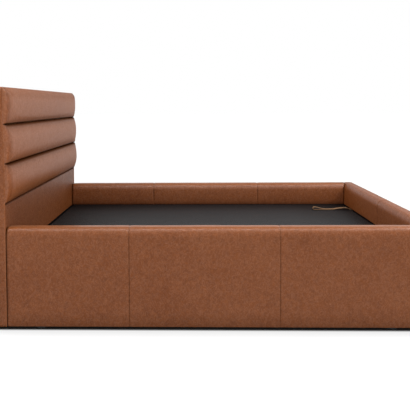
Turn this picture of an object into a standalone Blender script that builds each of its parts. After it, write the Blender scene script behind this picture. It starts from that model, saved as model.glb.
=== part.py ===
"""A lift-up storage bed for a 1.5 m by 2.0 m mattress, upholstered in tan leather.

X runs from the headboard to the footboard, Y across the bed and Z up. The origin is on the floor under
the middle of the whole bed. The headboard has three horizontal stuffed channels over a flat panel. Two
padded side rails and a padded footboard make a deep box. A dark fabric-covered deck lies below the rail
tops, turns up on two steel hinges near the headboard and is carried by two gas struts. A leather strap at
the foot end pulls it up, and boards under the deck make the floor of the storage space.
"""

import math

import bmesh
import bpy
from mathutils import Matrix, Vector

MM = 0.001

# Driving sizes, in metres
MATTRESS_WIDTH = 1.500
MATTRESS_LENGTH = 2.000
MATTRESS_SIDE_ROOM = 0.008
MATTRESS_END_ROOM = 0.009
RAIL_THICKNESS = 0.092
RAIL_TOP = 0.4945
HEAD_THICKNESS = 0.100
HEAD_TOP = 1.173
UNDER_GAP = 0.0175
DECK_TOP = 0.340

# Fits that every piece shares
SEAT_GAP = 0.3 * MM
CUT_OVERRUN = 2 * MM
WELD_DISTANCE = 0.01 * MM
FUSED_DEPTH = 1 * MM

# Leather over foam on the rails and the footboard, with a board inside
CORE_BOARD = 30 * MM
TOP_PADDING = 30 * MM
RAIL_END_PADDING = 10 * MM
FOOT_END_PADDING = 30 * MM
TOP_EDGE_RADIUS = 30 * MM
BOTTOM_EDGE_RADIUS = 10 * MM
RAIL_END_RADIUS = 9 * MM
FOOT_END_RADIUS = 18 * MM
SEAM_PULL = 2.5 * MM
SEAM_HALF_WIDTH = 9 * MM
TOP_EDGE_STEPS = 6
BOTTOM_EDGE_STEPS = 3
END_STEPS = 4
NEAR_RAIL_SEAM_ONE = 0.594
NEAR_RAIL_SEAM_TWO = 1.318
FAR_RAIL_SEAM_ONE = 0.612
FAR_RAIL_SEAM_TWO = 1.382
FOOT_SEAM_FROM_MIDDLE = -0.039

# Headboard layers and channels
HEAD_FRAME_MEMBER = 60 * MM
HEAD_FRAME_LOW_CROSS = 0.560
HEAD_FRAME_HIGH_CROSS = 0.860
BACK_COVER_THICKNESS = 2 * MM
FACE_BOARD_THICKNESS = 9 * MM
BORDER_PADDING = 12 * MM
BORDER_CORNER_RADIUS = 22 * MM
BORDER_EDGE_RADIUS = 3.5 * MM
LOWER_PAD_THICKNESS = 8 * MM
LOWER_PAD_TOP = 0.598
BOTTOM_CHANNEL_TOP = 0.802
MIDDLE_CHANNEL_TOP = 0.992
BOTTOM_CHANNEL_CROWN = 29 * MM
MIDDLE_CHANNEL_CROWN = 27 * MM
TOP_CHANNEL_CROWN = 22 * MM
CHANNEL_FOOT_VALLEY = 3 * MM
LOWER_CHANNEL_VALLEY = 12 * MM
UPPER_CHANNEL_VALLEY = 6 * MM
CHANNEL_END_ROUND = 44 * MM
CHANNEL_VALLEY_ROUND = 15 * MM
CHANNEL_EDGE_ROUND = 5 * MM
CHANNEL_TOP_ROUND = 30 * MM
CHANNEL_RIM = 2 * MM
CHANNEL_FULLNESS = 2.2
CHANNEL_TOP_FULLNESS = 4
CHANNEL_ROWS = 12
CHANNEL_END_COLUMNS = 6
CHANNEL_FLAT_COLUMNS = 3
PAD_SIDE_INSET = 1.5 * MM

# Deck
DECK_SIDE_ROOM = 10 * MM
DECK_HEAD_ROOM = 14 * MM
DECK_FOOT_ROOM = 14 * MM
DECK_FABRIC = 2 * MM
DECK_EDGE_RADIUS = 4 * MM
DECK_BOARD = 15 * MM
DECK_BOARD_JOINT = 1 * MM
JOINT_DIP_WIDTH = 3 * MM
JOINT_DIP_DEPTH = 0.4 * MM
FRAME_MEMBER_WIDTH = 40 * MM
FRAME_MEMBER_HEIGHT = 30 * MM
FRAME_END_ROOM = 50 * MM
FRAME_TO_ARM = 3 * MM
DECK_BAYS = 3

# Lift mechanism. Its depths are measured from the inner face of a rail.
PIVOT_FROM_HEAD = 0.320
PIVOT_BELOW_BOARD = 22.4 * MM
PLATE_THICKNESS = 4 * MM
PLATE_CORNER_RADIUS = 14 * MM
PLATE_BEHIND = 36 * MM
PLATE_AHEAD = 126 * MM
PLATE_ABOVE = 20 * MM
PLATE_FLOOR_ROOM = 4.7 * MM
PLATE_SHOULDER_SHARE = 0.22
PLATE_BOLT_SHARES = ((0.22, 0.38), (0.78, 0.38), (0.78, 0.84), (0.5, 0.62))
ARM_DEPTH = 9.3 * MM
ARM_THICKNESS = 5 * MM
ARM_FLANGE = 37 * MM
ARM_FLANGE_THICKNESS = 4 * MM
ARM_NOSE_RADIUS = 20 * MM
ARM_LENGTH = 0.480
ARM_DROP = 34 * MM
ARM_TIP_DROP = 12 * MM
ARM_BOLT_SHARES = (0.2, 0.42, 0.68, 0.92)
PIN_RADIUS = 6 * MM
PIN_COLLAR_RADIUS = 9 * MM
PIN_HEAD_RADIUS = 11 * MM
PIN_HEAD = 3 * MM
BUSH_WALL = 2 * MM
BUSH_FLANGE_RADIUS = 10.5 * MM
BUSH_FLANGE = 2 * MM
RUNNING_GAP = 0.5 * MM
STRUT_DEPTH = 36 * MM
STRUT_BASE_AHEAD = 12.7 * MM
STRUT_BASE_EDGE = 18 * MM
STRUT_TOP_AHEAD = 231.8 * MM
STRUT_TOP_BELOW = 15 * MM
STUD_RADIUS = 4 * MM
STUD_COLLAR_RADIUS = 7 * MM
STUD_CLIP = 2 * MM
BASE_CLIP_RADIUS = 8 * MM
TOP_CLIP_RADIUS = 12 * MM
TOP_EYE_PLAY = 3.6 * MM
EYE_THICKNESS = 12 * MM
EYE_WALL = 5 * MM
EYE_NECK = 12 * MM
EYE_REACH = 30 * MM
CYLINDER_RADIUS = 11 * MM
CYLINDER_WALL = 2 * MM
CYLINDER_LENGTH = 158 * MM
GLAND = 8 * MM
ROD_RADIUS = 5 * MM
PISTON = 12 * MM
PISTON_FROM_FLOOR = 44 * MM

# Ledgers, battens, boards, glides, brackets and bolts
LEDGER_DEPTH = 28 * MM
LEDGER_HEIGHT = 40 * MM
LEDGER_AHEAD_OF_ARM = 25 * MM
BUFFER_RADIUS = 11 * MM
BUFFER_HEIGHT = 3 * MM
BUFFER_PLACE_SHARE = 0.72
BATTEN_DEPTH = 25 * MM
BATTEN_BOTTOM = 20 * MM
BATTEN_HEIGHT = 25 * MM
BEARER_WIDTH = 60 * MM
BASE_BOARD = 12 * MM
BASE_BOARD_ROOM = 2 * MM
GLIDE_RADIUS = 24 * MM
GLIDE_LIP = 4 * MM
GLIDE_END_SHARE = 0.08
HEAD_GLIDE_SHARE = 0.75
FOOT_GLIDE_SHARE = 0.55
BRACKET_LEG = 60 * MM
BRACKET_THICKNESS = 4 * MM
BRACKET_BOTTOM = 0.075
BRACKET_HEIGHT = 0.185
BRACKET_BOLT_SHARES = (0.2, 0.8)
BRACKET_BOLT_SHARE = 0.6
BOLT_RADIUS = 7 * MM
BOLT_HEAD = 3 * MM

# Pull strap
STRAP_WIDTH = 28 * MM
STRAP_THICKNESS = 2.4 * MM
STRAP_SIDE = 0.524
STRAP_REACH = 0.262
STRAP_FOLD_GAP = 16 * MM
STRAP_WAVE = 20 * MM
STRAP_WAVES = 1.75
STRAP_HANG = 13 * MM
STRAP_STEPS = 26
STRAP_LAYER_GAP = 0.5 * MM
STRAP_SPREAD_SHARE = 0.3
CLAMP_THICKNESS = 2 * MM
CLAMP_OVERHANG = 11 * MM

# Sizes that follow from those above
INNER_WIDTH = MATTRESS_WIDTH + 2 * MATTRESS_SIDE_ROOM
INNER_LENGTH = MATTRESS_LENGTH + 2 * MATTRESS_END_ROOM
HALF_INNER = INNER_WIDTH / 2
HALF_OUTER = HALF_INNER + RAIL_THICKNESS
HALF_LENGTH = (HEAD_THICKNESS + INNER_LENGTH + RAIL_THICKNESS) / 2
BACK_X = -HALF_LENGTH
HEAD_FACE_X = BACK_X + HEAD_THICKNESS
FOOT_FACE_X = HEAD_FACE_X + INNER_LENGTH
MIDDLE_X = (HEAD_FACE_X + FOOT_FACE_X) / 2
PAD_BACK_X = HEAD_FACE_X - LOWER_PAD_THICKNESS
HEAD_FRAME_BOTTOM = UNDER_GAP
BOARD_TOP = DECK_TOP - DECK_FABRIC - SEAT_GAP
BOARD_BOTTOM = BOARD_TOP - DECK_BOARD
FRAME_TOP = BOARD_BOTTOM - SEAT_GAP
BATTEN_TOP = BATTEN_BOTTOM + BATTEN_HEIGHT
FLOOR_BOTTOM = BATTEN_TOP + SEAT_GAP
FLOOR_TOP = FLOOR_BOTTOM + BASE_BOARD
PLATE_BOTTOM = FLOOR_TOP + PLATE_FLOOR_ROOM
PIVOT = Vector((HEAD_FACE_X + PIVOT_FROM_HEAD, 0, FRAME_TOP - PIVOT_BELOW_BOARD))
STRUT_BASE = Vector((PIVOT.x + STRUT_BASE_AHEAD, 0, PLATE_BOTTOM + STRUT_BASE_EDGE))
STRUT_TOP = PIVOT + Vector((STRUT_TOP_AHEAD, 0, -STRUT_TOP_BELOW))
STRUT_LINE = STRUT_TOP - STRUT_BASE
STRUT_LENGTH = STRUT_LINE.length
STRUT_TILT = math.atan2(STRUT_LINE.x, STRUT_LINE.z)
DECK_HEAD_X = HEAD_FACE_X + DECK_HEAD_ROOM
DECK_FOOT_X = FOOT_FACE_X - DECK_FOOT_ROOM
DECK_HALF = HALF_INNER - DECK_SIDE_ROOM
LEDGER_TOP = FRAME_TOP - BUFFER_HEIGHT - SEAT_GAP
PLATE_FACE = SEAT_GAP + PLATE_THICKNESS
NEAR_RAIL_SEAMS = (NEAR_RAIL_SEAM_ONE, NEAR_RAIL_SEAM_TWO)
FAR_RAIL_SEAMS = (FAR_RAIL_SEAM_ONE, FAR_RAIL_SEAM_TWO)
SIDES = (("left", 1), ("right", -1))

COLLECTION = "storage_bed"
CUTTERS = "cutters"


def clear_scene():
    for obj in list(bpy.data.objects):
        bpy.data.objects.remove(obj)
    for name in (COLLECTION, CUTTERS):
        collection = bpy.data.collections.new(name)
        bpy.context.scene.collection.children.link(collection)


def material(name, colour, roughness, metallic=0.0):
    found = bpy.data.materials.get(name)
    if found:
        return found
    made = bpy.data.materials.new(name)
    made.use_nodes = True
    shader = made.node_tree.nodes["Principled BSDF"]
    shader.inputs["Base Color"].default_value = (*colour, 1)
    shader.inputs["Roughness"].default_value = roughness
    shader.inputs["Metallic"].default_value = metallic
    made.diffuse_color = (*colour, 1)
    return made


def tan_leather():
    return material("tan_leather", (0.27, 0.098, 0.046), 0.55)


def deck_fabric():
    return material("charcoal_fabric", (0.055, 0.055, 0.057), 0.9)


def lining_fabric():
    return material("black_lining", (0.02, 0.02, 0.02), 0.95)


def pine():
    return material("pine", (0.62, 0.44, 0.25), 0.7)


def plywood():
    return material("plywood", (0.58, 0.42, 0.26), 0.65)


def black_steel():
    return material("black_steel", (0.03, 0.03, 0.032), 0.45, 0.6)


def zinc_steel():
    return material("zinc_steel", (0.55, 0.55, 0.56), 0.35, 1.0)


def chrome():
    return material("chromed_rod", (0.8, 0.8, 0.82), 0.1, 1.0)


def black_plastic():
    return material("black_plastic", (0.02, 0.02, 0.02), 0.5)


def nylon():
    return material("white_nylon", (0.8, 0.8, 0.78), 0.4)


def move_to(obj, collection_name):
    for collection in list(obj.users_collection):
        collection.objects.unlink(obj)
    bpy.data.collections[collection_name].objects.link(obj)


def finish(obj, name, finish_material, parent=None, smooth_angle=None):
    """Name the object, give it its material and collection, and hang it on its joint's empty."""
    obj.name = name
    obj.data.materials.clear()
    obj.data.materials.append(finish_material)
    move_to(obj, COLLECTION)
    if smooth_angle is not None:
        obj.data.shade_smooth()
        obj.data.set_sharp_from_angle(angle=math.radians(smooth_angle))
    if parent is not None:
        bpy.context.view_layer.update()
        obj.parent = parent
        obj.matrix_parent_inverse = parent.matrix_world.inverted()
    return obj


def object_from(builder, name):
    """An object linked to the scene whose mesh is what is in the bmesh."""
    mesh = bpy.data.meshes.new(name)
    builder.to_mesh(mesh)
    builder.free()
    obj = bpy.data.objects.new(name, mesh)
    bpy.context.scene.collection.objects.link(obj)
    return obj


def block(low, high):
    """A box between two corners, with its scale applied."""
    low, high = Vector(low), Vector(high)
    bpy.ops.mesh.primitive_cube_add(size=1, location=(low + high) / 2)
    obj = bpy.context.active_object
    obj.scale = high - low
    bpy.ops.object.transform_apply(location=False, rotation=False, scale=True)
    return obj


def side_block(side, x_range, depth_range, z_range):
    """A box beside a rail: its depths run from the rail's inner face towards the bed's middle."""
    ys = sorted(side * (HALF_INNER - depth) for depth in depth_range)
    return block((x_range[0], ys[0], z_range[0]), (x_range[1], ys[1], z_range[1]))


def bevel(obj, width, segments=2):
    modifier = obj.modifiers.new("rounded edges", "BEVEL")
    modifier.width = width
    modifier.segments = segments
    modifier.limit_method = "ANGLE"
    return obj


def arc(centre, radius, start, end, steps):
    """Points on an arc, with its angles in degrees."""
    points = []
    for step in range(steps + 1):
        angle = math.radians(start + (end - start) * step / steps)
        points.append((centre[0] + radius * math.cos(angle), centre[1] + radius * math.sin(angle)))
    return points


def circle(centre, radius, steps=20):
    return arc(centre, radius, 0, 360, steps)[:-1]


def rectangle(low, high):
    return [(low[0], low[1]), (high[0], low[1]), (high[0], high[1]), (low[0], high[1])]


def rounded(points, radius, steps=4):
    """The outline with each corner replaced by an arc that touches both its sides."""
    made = []
    count = len(points)
    for i in range(count):
        corner = Vector(points[i])
        back = (Vector(points[i - 1]) - corner).normalized()
        ahead = (Vector(points[(i + 1) % count]) - corner).normalized()
        half = back.angle(ahead) / 2
        centre = corner + (back + ahead).normalized() * (radius / math.sin(half))
        first = corner + back * (radius / math.tan(half)) - centre
        last = corner + ahead * (radius / math.tan(half)) - centre
        start = math.degrees(math.atan2(first.y, first.x))
        turn = math.degrees(math.atan2(first.cross(last), first.dot(last)))
        made += arc(centre, radius, start, start + turn, steps)
    return made


# Turns that stand a flat outline in the plane that it is drawn for
IN_XY = Matrix.Identity(4)
IN_XZ = Matrix.Rotation(math.pi / 2, 4, "X")
IN_YZ = Matrix(((0, 0, 1, 0), (1, 0, 0, 0), (0, 1, 0, 0), (0, 0, 0, 1)))


def drawn_curve(outlines, extrude, turn, centre, closed):
    """A mesh object made from flat outlines that are extruded both ways from their plane."""
    curve = bpy.data.curves.new("outline", "CURVE")
    curve.dimensions = "2D"
    curve.fill_mode = "BOTH" if closed else "NONE"
    curve.extrude = extrude
    for points in outlines:
        spline = curve.splines.new("POLY")
        spline.points.add(len(points) - 1)
        for point, (x, y) in zip(spline.points, points):
            point.co = (x, y, 0, 1)
        spline.use_cyclic_u = closed
    drawn = bpy.data.objects.new("outline", curve)
    bpy.context.scene.collection.objects.link(drawn)
    drawn.matrix_world = Matrix.Translation(centre) @ turn
    bpy.context.view_layer.update()
    evaluated = drawn.evaluated_get(bpy.context.evaluated_depsgraph_get())
    mesh = bpy.data.meshes.new_from_object(evaluated)
    builder = bmesh.new()
    builder.from_mesh(mesh)
    bmesh.ops.remove_doubles(builder, verts=builder.verts, dist=WELD_DISTANCE)
    bmesh.ops.recalc_face_normals(builder, faces=builder.faces)
    builder.to_mesh(mesh)
    builder.free()
    obj = bpy.data.objects.new("from_curve", mesh)
    bpy.context.scene.collection.objects.link(obj)
    obj.matrix_world = drawn.matrix_world.copy()
    bpy.data.objects.remove(drawn)
    return obj


def outline_solid(outlines, thickness, turn, centre):
    """A flat outline, with any holes as further outlines, given a thickness about its centre plane."""
    return drawn_curve(outlines, thickness / 2, turn, centre, True)


def turned(profile, place, steps=20):
    """A profile of (radius, height) points, from the top down its outer side, turned about local Z."""
    builder = bmesh.new()
    corners = [builder.verts.new((radius, 0, height)) for radius, height in profile]
    for first, second in zip(corners, corners[1:]):
        builder.edges.new((first, second))
    if profile[0][0] > 0 and profile[-1][0] > 0:
        builder.edges.new((corners[-1], corners[0]))
    obj = object_from(builder, "turned")
    screw = obj.modifiers.new("turned", "SCREW")
    screw.steps = steps
    screw.render_steps = steps
    screw.use_merge_vertices = True
    screw.merge_threshold = WELD_DISTANCE
    obj.matrix_world = place
    return obj


def across(side, x, depth, z):
    """The place of a turned piece whose axis runs from a rail's inner face towards the bed's middle."""
    turn = Matrix.Rotation(math.pi / 2 * side, 4, "X")
    return Matrix.Translation((x, side * (HALF_INNER - depth), z)) @ turn


def combine(main, others, operation):
    """The main object with the others joined to it or cut from it by Booleans."""
    for other in others:
        modifier = main.modifiers.new(operation.lower(), "BOOLEAN")
        modifier.operation = operation
        modifier.object = other
        other.hide_render = True
        other.display_type = "WIRE"
        move_to(other, CUTTERS)
    return main


def merged(objects):
    """Several separate shapes as one cutter or one set of fused shapes."""
    bpy.context.view_layer.update()
    bpy.ops.object.select_all(action="DESELECT")
    for obj in objects:
        obj.select_set(True)
    bpy.context.view_layer.objects.active = objects[0]
    bpy.ops.object.convert(target="MESH")
    bpy.ops.object.join()
    return bpy.context.view_layer.objects.active


def joint_empty(name, place, tilt=0.0):
    """An empty on a joint's axis. The pieces that move on it are its children."""
    empty = bpy.data.objects.new(name, None)
    bpy.data.collections[COLLECTION].objects.link(empty)
    empty.location = place
    empty.rotation_euler = (0, tilt, 0)
    bpy.context.view_layer.update()
    return empty


def padded_section(inset, bottom_inset):
    """The outline of a padded rail seen from its end, drawn in all round by the inset."""
    half = RAIL_THICKNESS / 2 - inset
    top, bottom = RAIL_TOP - inset, UNDER_GAP + bottom_inset
    top_radius = max(TOP_EDGE_RADIUS - inset, TOP_EDGE_RADIUS / 3)
    bottom_radius = max(BOTTOM_EDGE_RADIUS - inset, BOTTOM_EDGE_RADIUS / 3)
    points = arc((half - top_radius, top - top_radius), top_radius, 0, 90, TOP_EDGE_STEPS)
    points += arc((top_radius - half, top - top_radius), top_radius, 90, 180, TOP_EDGE_STEPS)
    points += arc((bottom_radius - half, bottom + bottom_radius), bottom_radius, 180, 270, BOTTOM_EDGE_STEPS)
    points += arc((half - bottom_radius, bottom + bottom_radius), bottom_radius, 270, 360, BOTTOM_EDGE_STEPS)
    return points


def padded_body(length, end_radius, seams):
    """Leather and foam round a board: a loft along X, softly rounded and drawn in at its seams."""
    stations = {}
    for i in range(END_STEPS + 1):
        angle = math.pi / 2 * i / END_STEPS
        inset = end_radius * (1 - math.sin(angle))
        reach = length / 2 - end_radius * (1 - math.cos(angle))
        stations[-reach] = stations[reach] = (inset, inset)
    for seam in seams:
        stations[seam - SEAM_HALF_WIDTH] = stations[seam + SEAM_HALF_WIDTH] = (0, 0)
        stations[seam] = (SEAM_PULL, 0)
    builder = bmesh.new()
    rings = []
    for x in sorted(stations):
        corners = [builder.verts.new((x, y, z)) for y, z in padded_section(*stations[x])]
        pairs = zip(corners, corners[1:] + corners[:1])
        rings.append([builder.edges.new(pair) for pair in pairs])
    for first, second in zip(rings, rings[1:]):
        bmesh.ops.bridge_loops(builder, edges=first + second)
    bmesh.ops.holes_fill(builder, edges=rings[0])
    bmesh.ops.holes_fill(builder, edges=rings[-1])
    bmesh.ops.recalc_face_normals(builder, faces=builder.faces)
    return object_from(builder, "padded_body")


def padded_board(name, place, length, end_radius, end_padding, seams):
    """A board in a padded cover that is open underneath, where the board goes in."""
    half_length, half_board = length / 2 - end_padding, CORE_BOARD / 2
    top = RAIL_TOP - TOP_PADDING
    core = block((-half_length, -half_board, UNDER_GAP), (half_length, half_board, top))
    low = (-half_length - SEAT_GAP, -half_board - SEAT_GAP, UNDER_GAP - CUT_OVERRUN)
    high = (half_length + SEAT_GAP, half_board + SEAT_GAP, top + SEAT_GAP)
    slot = block(low, high)
    cover = padded_body(length, end_radius, seams)
    for obj in (core, slot, cover):
        obj.matrix_world = place @ obj.matrix_world
    combine(cover, [slot], "DIFFERENCE")
    finish(cover, f"{name}_cover", tan_leather(), smooth_angle=40)
    finish(core, f"{name}_core", pine())


def rails_and_footboard():
    """The two side rails and the footboard, which is as wide as the whole bed."""
    length = INNER_LENGTH - 2 * SEAT_GAP
    for (name, side), stations in zip(SIDES, (FAR_RAIL_SEAMS, NEAR_RAIL_SEAMS)):
        seams = [station - INNER_LENGTH / 2 for station in stations]
        place = Matrix.Translation((MIDDLE_X, side * (HALF_INNER + RAIL_THICKNESS / 2), 0))
        padded_board(f"rail_{name}", place, length, RAIL_END_RADIUS, RAIL_END_PADDING, seams)
    turn = Matrix.Rotation(math.pi / 2, 4, "Z")
    place = Matrix.Translation((FOOT_FACE_X + RAIL_THICKNESS / 2, 0, 0)) @ turn
    seams = [FOOT_SEAM_FROM_MIDDLE]
    padded_board("footboard", place, 2 * HALF_OUTER, FOOT_END_RADIUS, FOOT_END_PADDING, seams)


def headboard():
    """The timber frame, boards, border and pads of the headboard."""
    inside = HALF_OUTER - BORDER_PADDING - SEAT_GAP
    top = HEAD_TOP - BORDER_PADDING - SEAT_GAP
    bottom = HEAD_FRAME_BOTTOM
    cover_front = BACK_X + BACK_COVER_THICKNESS
    board_front = PAD_BACK_X - SEAT_GAP
    board_back = board_front - FACE_BOARD_THICKNESS
    frame_back = cover_front + SEAT_GAP
    frame_front = board_back - SEAT_GAP

    radius = BORDER_CORNER_RADIUS - BORDER_PADDING - SEAT_GAP
    corners = arc((inside - radius, top - radius), radius, 0, 90, 4)
    corners += arc((-inside + radius, top - radius), radius, 90, 180, 4)
    edge = [(inside, bottom), *corners, (-inside, bottom)]
    back = outline_solid([edge], BACK_COVER_THICKNESS, IN_YZ, ((BACK_X + cover_front) / 2, 0, 0))
    finish(back, "headboard_back_cover", lining_fabric())
    board = outline_solid([edge], FACE_BOARD_THICKNESS, IN_YZ, ((board_back + board_front) / 2, 0, 0))
    finish(board, "headboard_face_board", plywood())

    member = HEAD_FRAME_MEMBER
    outlines = [edge]
    levels = [bottom + member]
    for height in (HEAD_FRAME_LOW_CROSS, HEAD_FRAME_HIGH_CROSS):
        levels += [height - member / 2, height + member / 2]
    levels.append(top - member)
    for low, high in zip(levels[::2], levels[1::2]):
        outlines.append(rectangle((-inside + member, low), (-member / 2, high)))
        outlines.append(rectangle((member / 2, low), (inside - member, high)))
    middle = ((frame_back + frame_front) / 2, 0, 0)
    frame = outline_solid(outlines, frame_front - frame_back, IN_YZ, middle)
    finish(frame, "headboard_frame", pine())
    headboard_border(board_front)
    headboard_pads()


def headboard_border(front):
    """The leather band round the sides and top of the headboard, an arch seen from the front."""
    radius = BORDER_CORNER_RADIUS
    inner_radius = radius - BORDER_PADDING
    inner = HALF_OUTER - BORDER_PADDING
    corner_y, corner_z = HALF_OUTER - radius, HEAD_TOP - radius
    outline = [(HALF_OUTER, UNDER_GAP)]
    outline += arc((corner_y, corner_z), radius, 0, 90, 6)
    outline += arc((-corner_y, corner_z), radius, 90, 180, 6)
    outline += [(-HALF_OUTER, UNDER_GAP), (-inner, UNDER_GAP)]
    outline += arc((-corner_y, corner_z), inner_radius, 180, 90, 4)
    outline += arc((corner_y, corner_z), inner_radius, 90, 0, 4)
    outline += [(inner, UNDER_GAP)]
    border = outline_solid([outline], front - BACK_X, IN_YZ, ((BACK_X + front) / 2, 0, 0))
    bevel(border, BORDER_EDGE_RADIUS)
    finish(border, "headboard_border", tan_leather(), smooth_angle=40)


def headboard_pads():
    """The flat lower pad and the three stuffed channels, each with its own crown."""
    half = HALF_OUTER - PAD_SIDE_INSET
    lower = block((PAD_BACK_X, -half, UNDER_GAP), (HEAD_FACE_X - SEAT_GAP, half, LOWER_PAD_TOP - SEAT_GAP))
    bevel(lower, BORDER_EDGE_RADIUS)
    finish(lower, "headboard_lower_pad", tan_leather(), smooth_angle=40)
    heights = (LOWER_PAD_TOP, BOTTOM_CHANNEL_TOP, MIDDLE_CHANNEL_TOP, HEAD_TOP - PAD_SIDE_INSET)
    names = ("channel_pad_bottom", "channel_pad_middle", "channel_pad_top")
    crowns = (BOTTOM_CHANNEL_CROWN, MIDDLE_CHANNEL_CROWN, TOP_CHANNEL_CROWN)
    valleys = (CHANNEL_FOOT_VALLEY, LOWER_CHANNEL_VALLEY, UPPER_CHANNEL_VALLEY, UPPER_CHANNEL_VALLEY)
    for i, name in enumerate(names):
        ends = (heights[i] + SEAT_GAP, heights[i + 1] - SEAT_GAP)
        pad = channel_pad(*ends, half, crowns[i], valleys[i : i + 2], name == "channel_pad_top")
        finish(pad, name, tan_leather(), smooth_angle=40)


def end_fall(distance, reach):
    """How much of a pad's height is left near its edge: none at the edge and all past the reach."""
    short = max(0.0, 1 - distance / reach)
    return math.sqrt(max(0.0, 1 - short * short))


def channel_stations(half):
    """The places along a channel where its grid has a column, closest together in its round ends."""
    span = half - CHANNEL_END_ROUND
    ends = []
    for i in range(CHANNEL_END_COLUMNS):
        angle = math.pi / 2 * i / CHANNEL_END_COLUMNS
        ends.append(half - CHANNEL_END_ROUND * (1 - math.cos(angle)))
    flat = [-span + 2 * span * i / CHANNEL_FLAT_COLUMNS for i in range(CHANNEL_FLAT_COLUMNS + 1)]
    return [-y for y in ends] + flat + list(reversed(ends))


def channel_pad(low, high, half, crown, valleys, over_top):
    """A stuffed channel: a crowned front over a flat back, drawn in at its seams and round at both ends."""
    stations = channel_stations(half)
    columns = len(stations) - 1
    builder = bmesh.new()
    bmesh.ops.create_grid(builder, x_segments=columns, y_segments=CHANNEL_ROWS, size=1)
    for vertex in builder.verts:
        column = round((vertex.co.x + 1) / 2 * columns)
        share = (1 - math.cos(math.pi * (vertex.co.y + 1) / 2)) / 2
        y, z = stations[column], low + (high - low) * share
        if over_top and share > 0.5:
            bulge = 1 - (2 * share - 1) ** CHANNEL_TOP_FULLNESS
        else:
            bulge = 1 - abs(2 * share - 1) ** CHANNEL_FULLNESS
        valley = valleys[0] + (valleys[1] - valleys[0]) * share
        room = half - abs(y)
        depth = LOWER_PAD_THICKNESS * end_fall(room, CHANNEL_EDGE_ROUND)
        depth += valley * end_fall(room, CHANNEL_VALLEY_ROUND)
        depth += (crown - valley) * bulge * end_fall(room, CHANNEL_END_ROUND)
        if over_top:
            depth *= end_fall(high - z, CHANNEL_TOP_ROUND)
        depth = max(depth, CHANNEL_RIM)
        vertex.co = (PAD_BACK_X + depth, y, z)
    rim = [e for e in builder.edges if len(e.link_faces) == 1]
    made = bmesh.ops.extrude_edge_only(builder, edges=rim)["geom"]
    for vertex in (v for v in made if isinstance(v, bmesh.types.BMVert)):
        vertex.co.x = PAD_BACK_X
    bmesh.ops.holes_fill(builder, edges=[e for e in builder.edges if len(e.link_faces) == 1])
    bmesh.ops.recalc_face_normals(builder, faces=builder.faces)
    return object_from(builder, "channel_pad")


def bolt_head(place):
    """A low domed head that stands up along Z from the place, with its root sunk in what carries it."""
    half = BOLT_HEAD / 2
    shoulder = (BOLT_RADIUS, half)
    profile = [(0, BOLT_HEAD), (BOLT_RADIUS / 2, BOLT_HEAD), shoulder, (BOLT_RADIUS, -FUSED_DEPTH)]
    return turned([*profile, (0, -FUSED_DEPTH)], place, steps=8)


def corner_brackets():
    """Four steel angles, with their bolts, that hold the rails to the headboard and to the footboard."""
    leg, wall = BRACKET_LEG, BRACKET_THICKNESS
    shape = [(0, 0), (leg, 0), (leg, wall), (wall, wall), (wall, leg), (0, leg)]
    for end, face_x, inward in (("head", HEAD_FACE_X, 1), ("foot", FOOT_FACE_X, -1)):
        for name, side in SIDES:
            corner_x = face_x + inward * SEAT_GAP
            corner_y = side * (HALF_INNER - SEAT_GAP)
            outline = [(corner_x + inward * x, corner_y - side * y) for x, y in shape]
            middle = (0, 0, BRACKET_BOTTOM + BRACKET_HEIGHT / 2)
            bracket = outline_solid([outline], BRACKET_HEIGHT, IN_XY, middle)
            heads = []
            for share in BRACKET_BOLT_SHARES:
                z = BRACKET_BOTTOM + BRACKET_HEIGHT * share
                x = corner_x + inward * leg * BRACKET_BOLT_SHARE
                heads.append(bolt_head(across(side, x, SEAT_GAP + wall, z)))
                y = corner_y - side * leg * BRACKET_BOLT_SHARE
                place = Matrix.Translation((corner_x + inward * wall, y, z))
                heads.append(bolt_head(place @ Matrix.Rotation(math.pi / 2 * inward, 4, "Y")))
            combine(bracket, [merged(heads)], "UNION")
            finish(bracket, f"corner_bracket_{end}_{name}", black_steel())


def ledgers():
    """The battens that the deck rests on, with a rubber buffer on each side."""
    start = PIVOT.x + ARM_LENGTH + LEDGER_AHEAD_OF_ARM
    end = FOOT_FACE_X - SEAT_GAP
    heights = (LEDGER_TOP - LEDGER_HEIGHT, LEDGER_TOP)
    for name, side in SIDES:
        depths = (SEAT_GAP, SEAT_GAP + LEDGER_DEPTH)
        ledger = side_block(side, (start, end), depths, heights)
        finish(ledger, f"side_ledger_{name}", pine())
        x = start + (end - start) * BUFFER_PLACE_SHARE
        y = side * (HALF_INNER - SEAT_GAP - LEDGER_DEPTH + BUFFER_RADIUS)
        top = BUFFER_HEIGHT - SEAT_GAP
        profile = [(0, top), (BUFFER_RADIUS - top / 2, top), (BUFFER_RADIUS, 0), (0, 0)]
        buffer = turned(profile, Matrix.Translation((x, y, LEDGER_TOP + SEAT_GAP)), steps=12)
        finish(buffer, f"deck_buffer_{name}", black_plastic(), smooth_angle=40)
    half = HALF_INNER - LEDGER_DEPTH - 2 * SEAT_GAP
    across_foot = block((end - LEDGER_DEPTH, -half, heights[0]), (end, half, heights[1]))
    finish(across_foot, "foot_ledger", pine())


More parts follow.
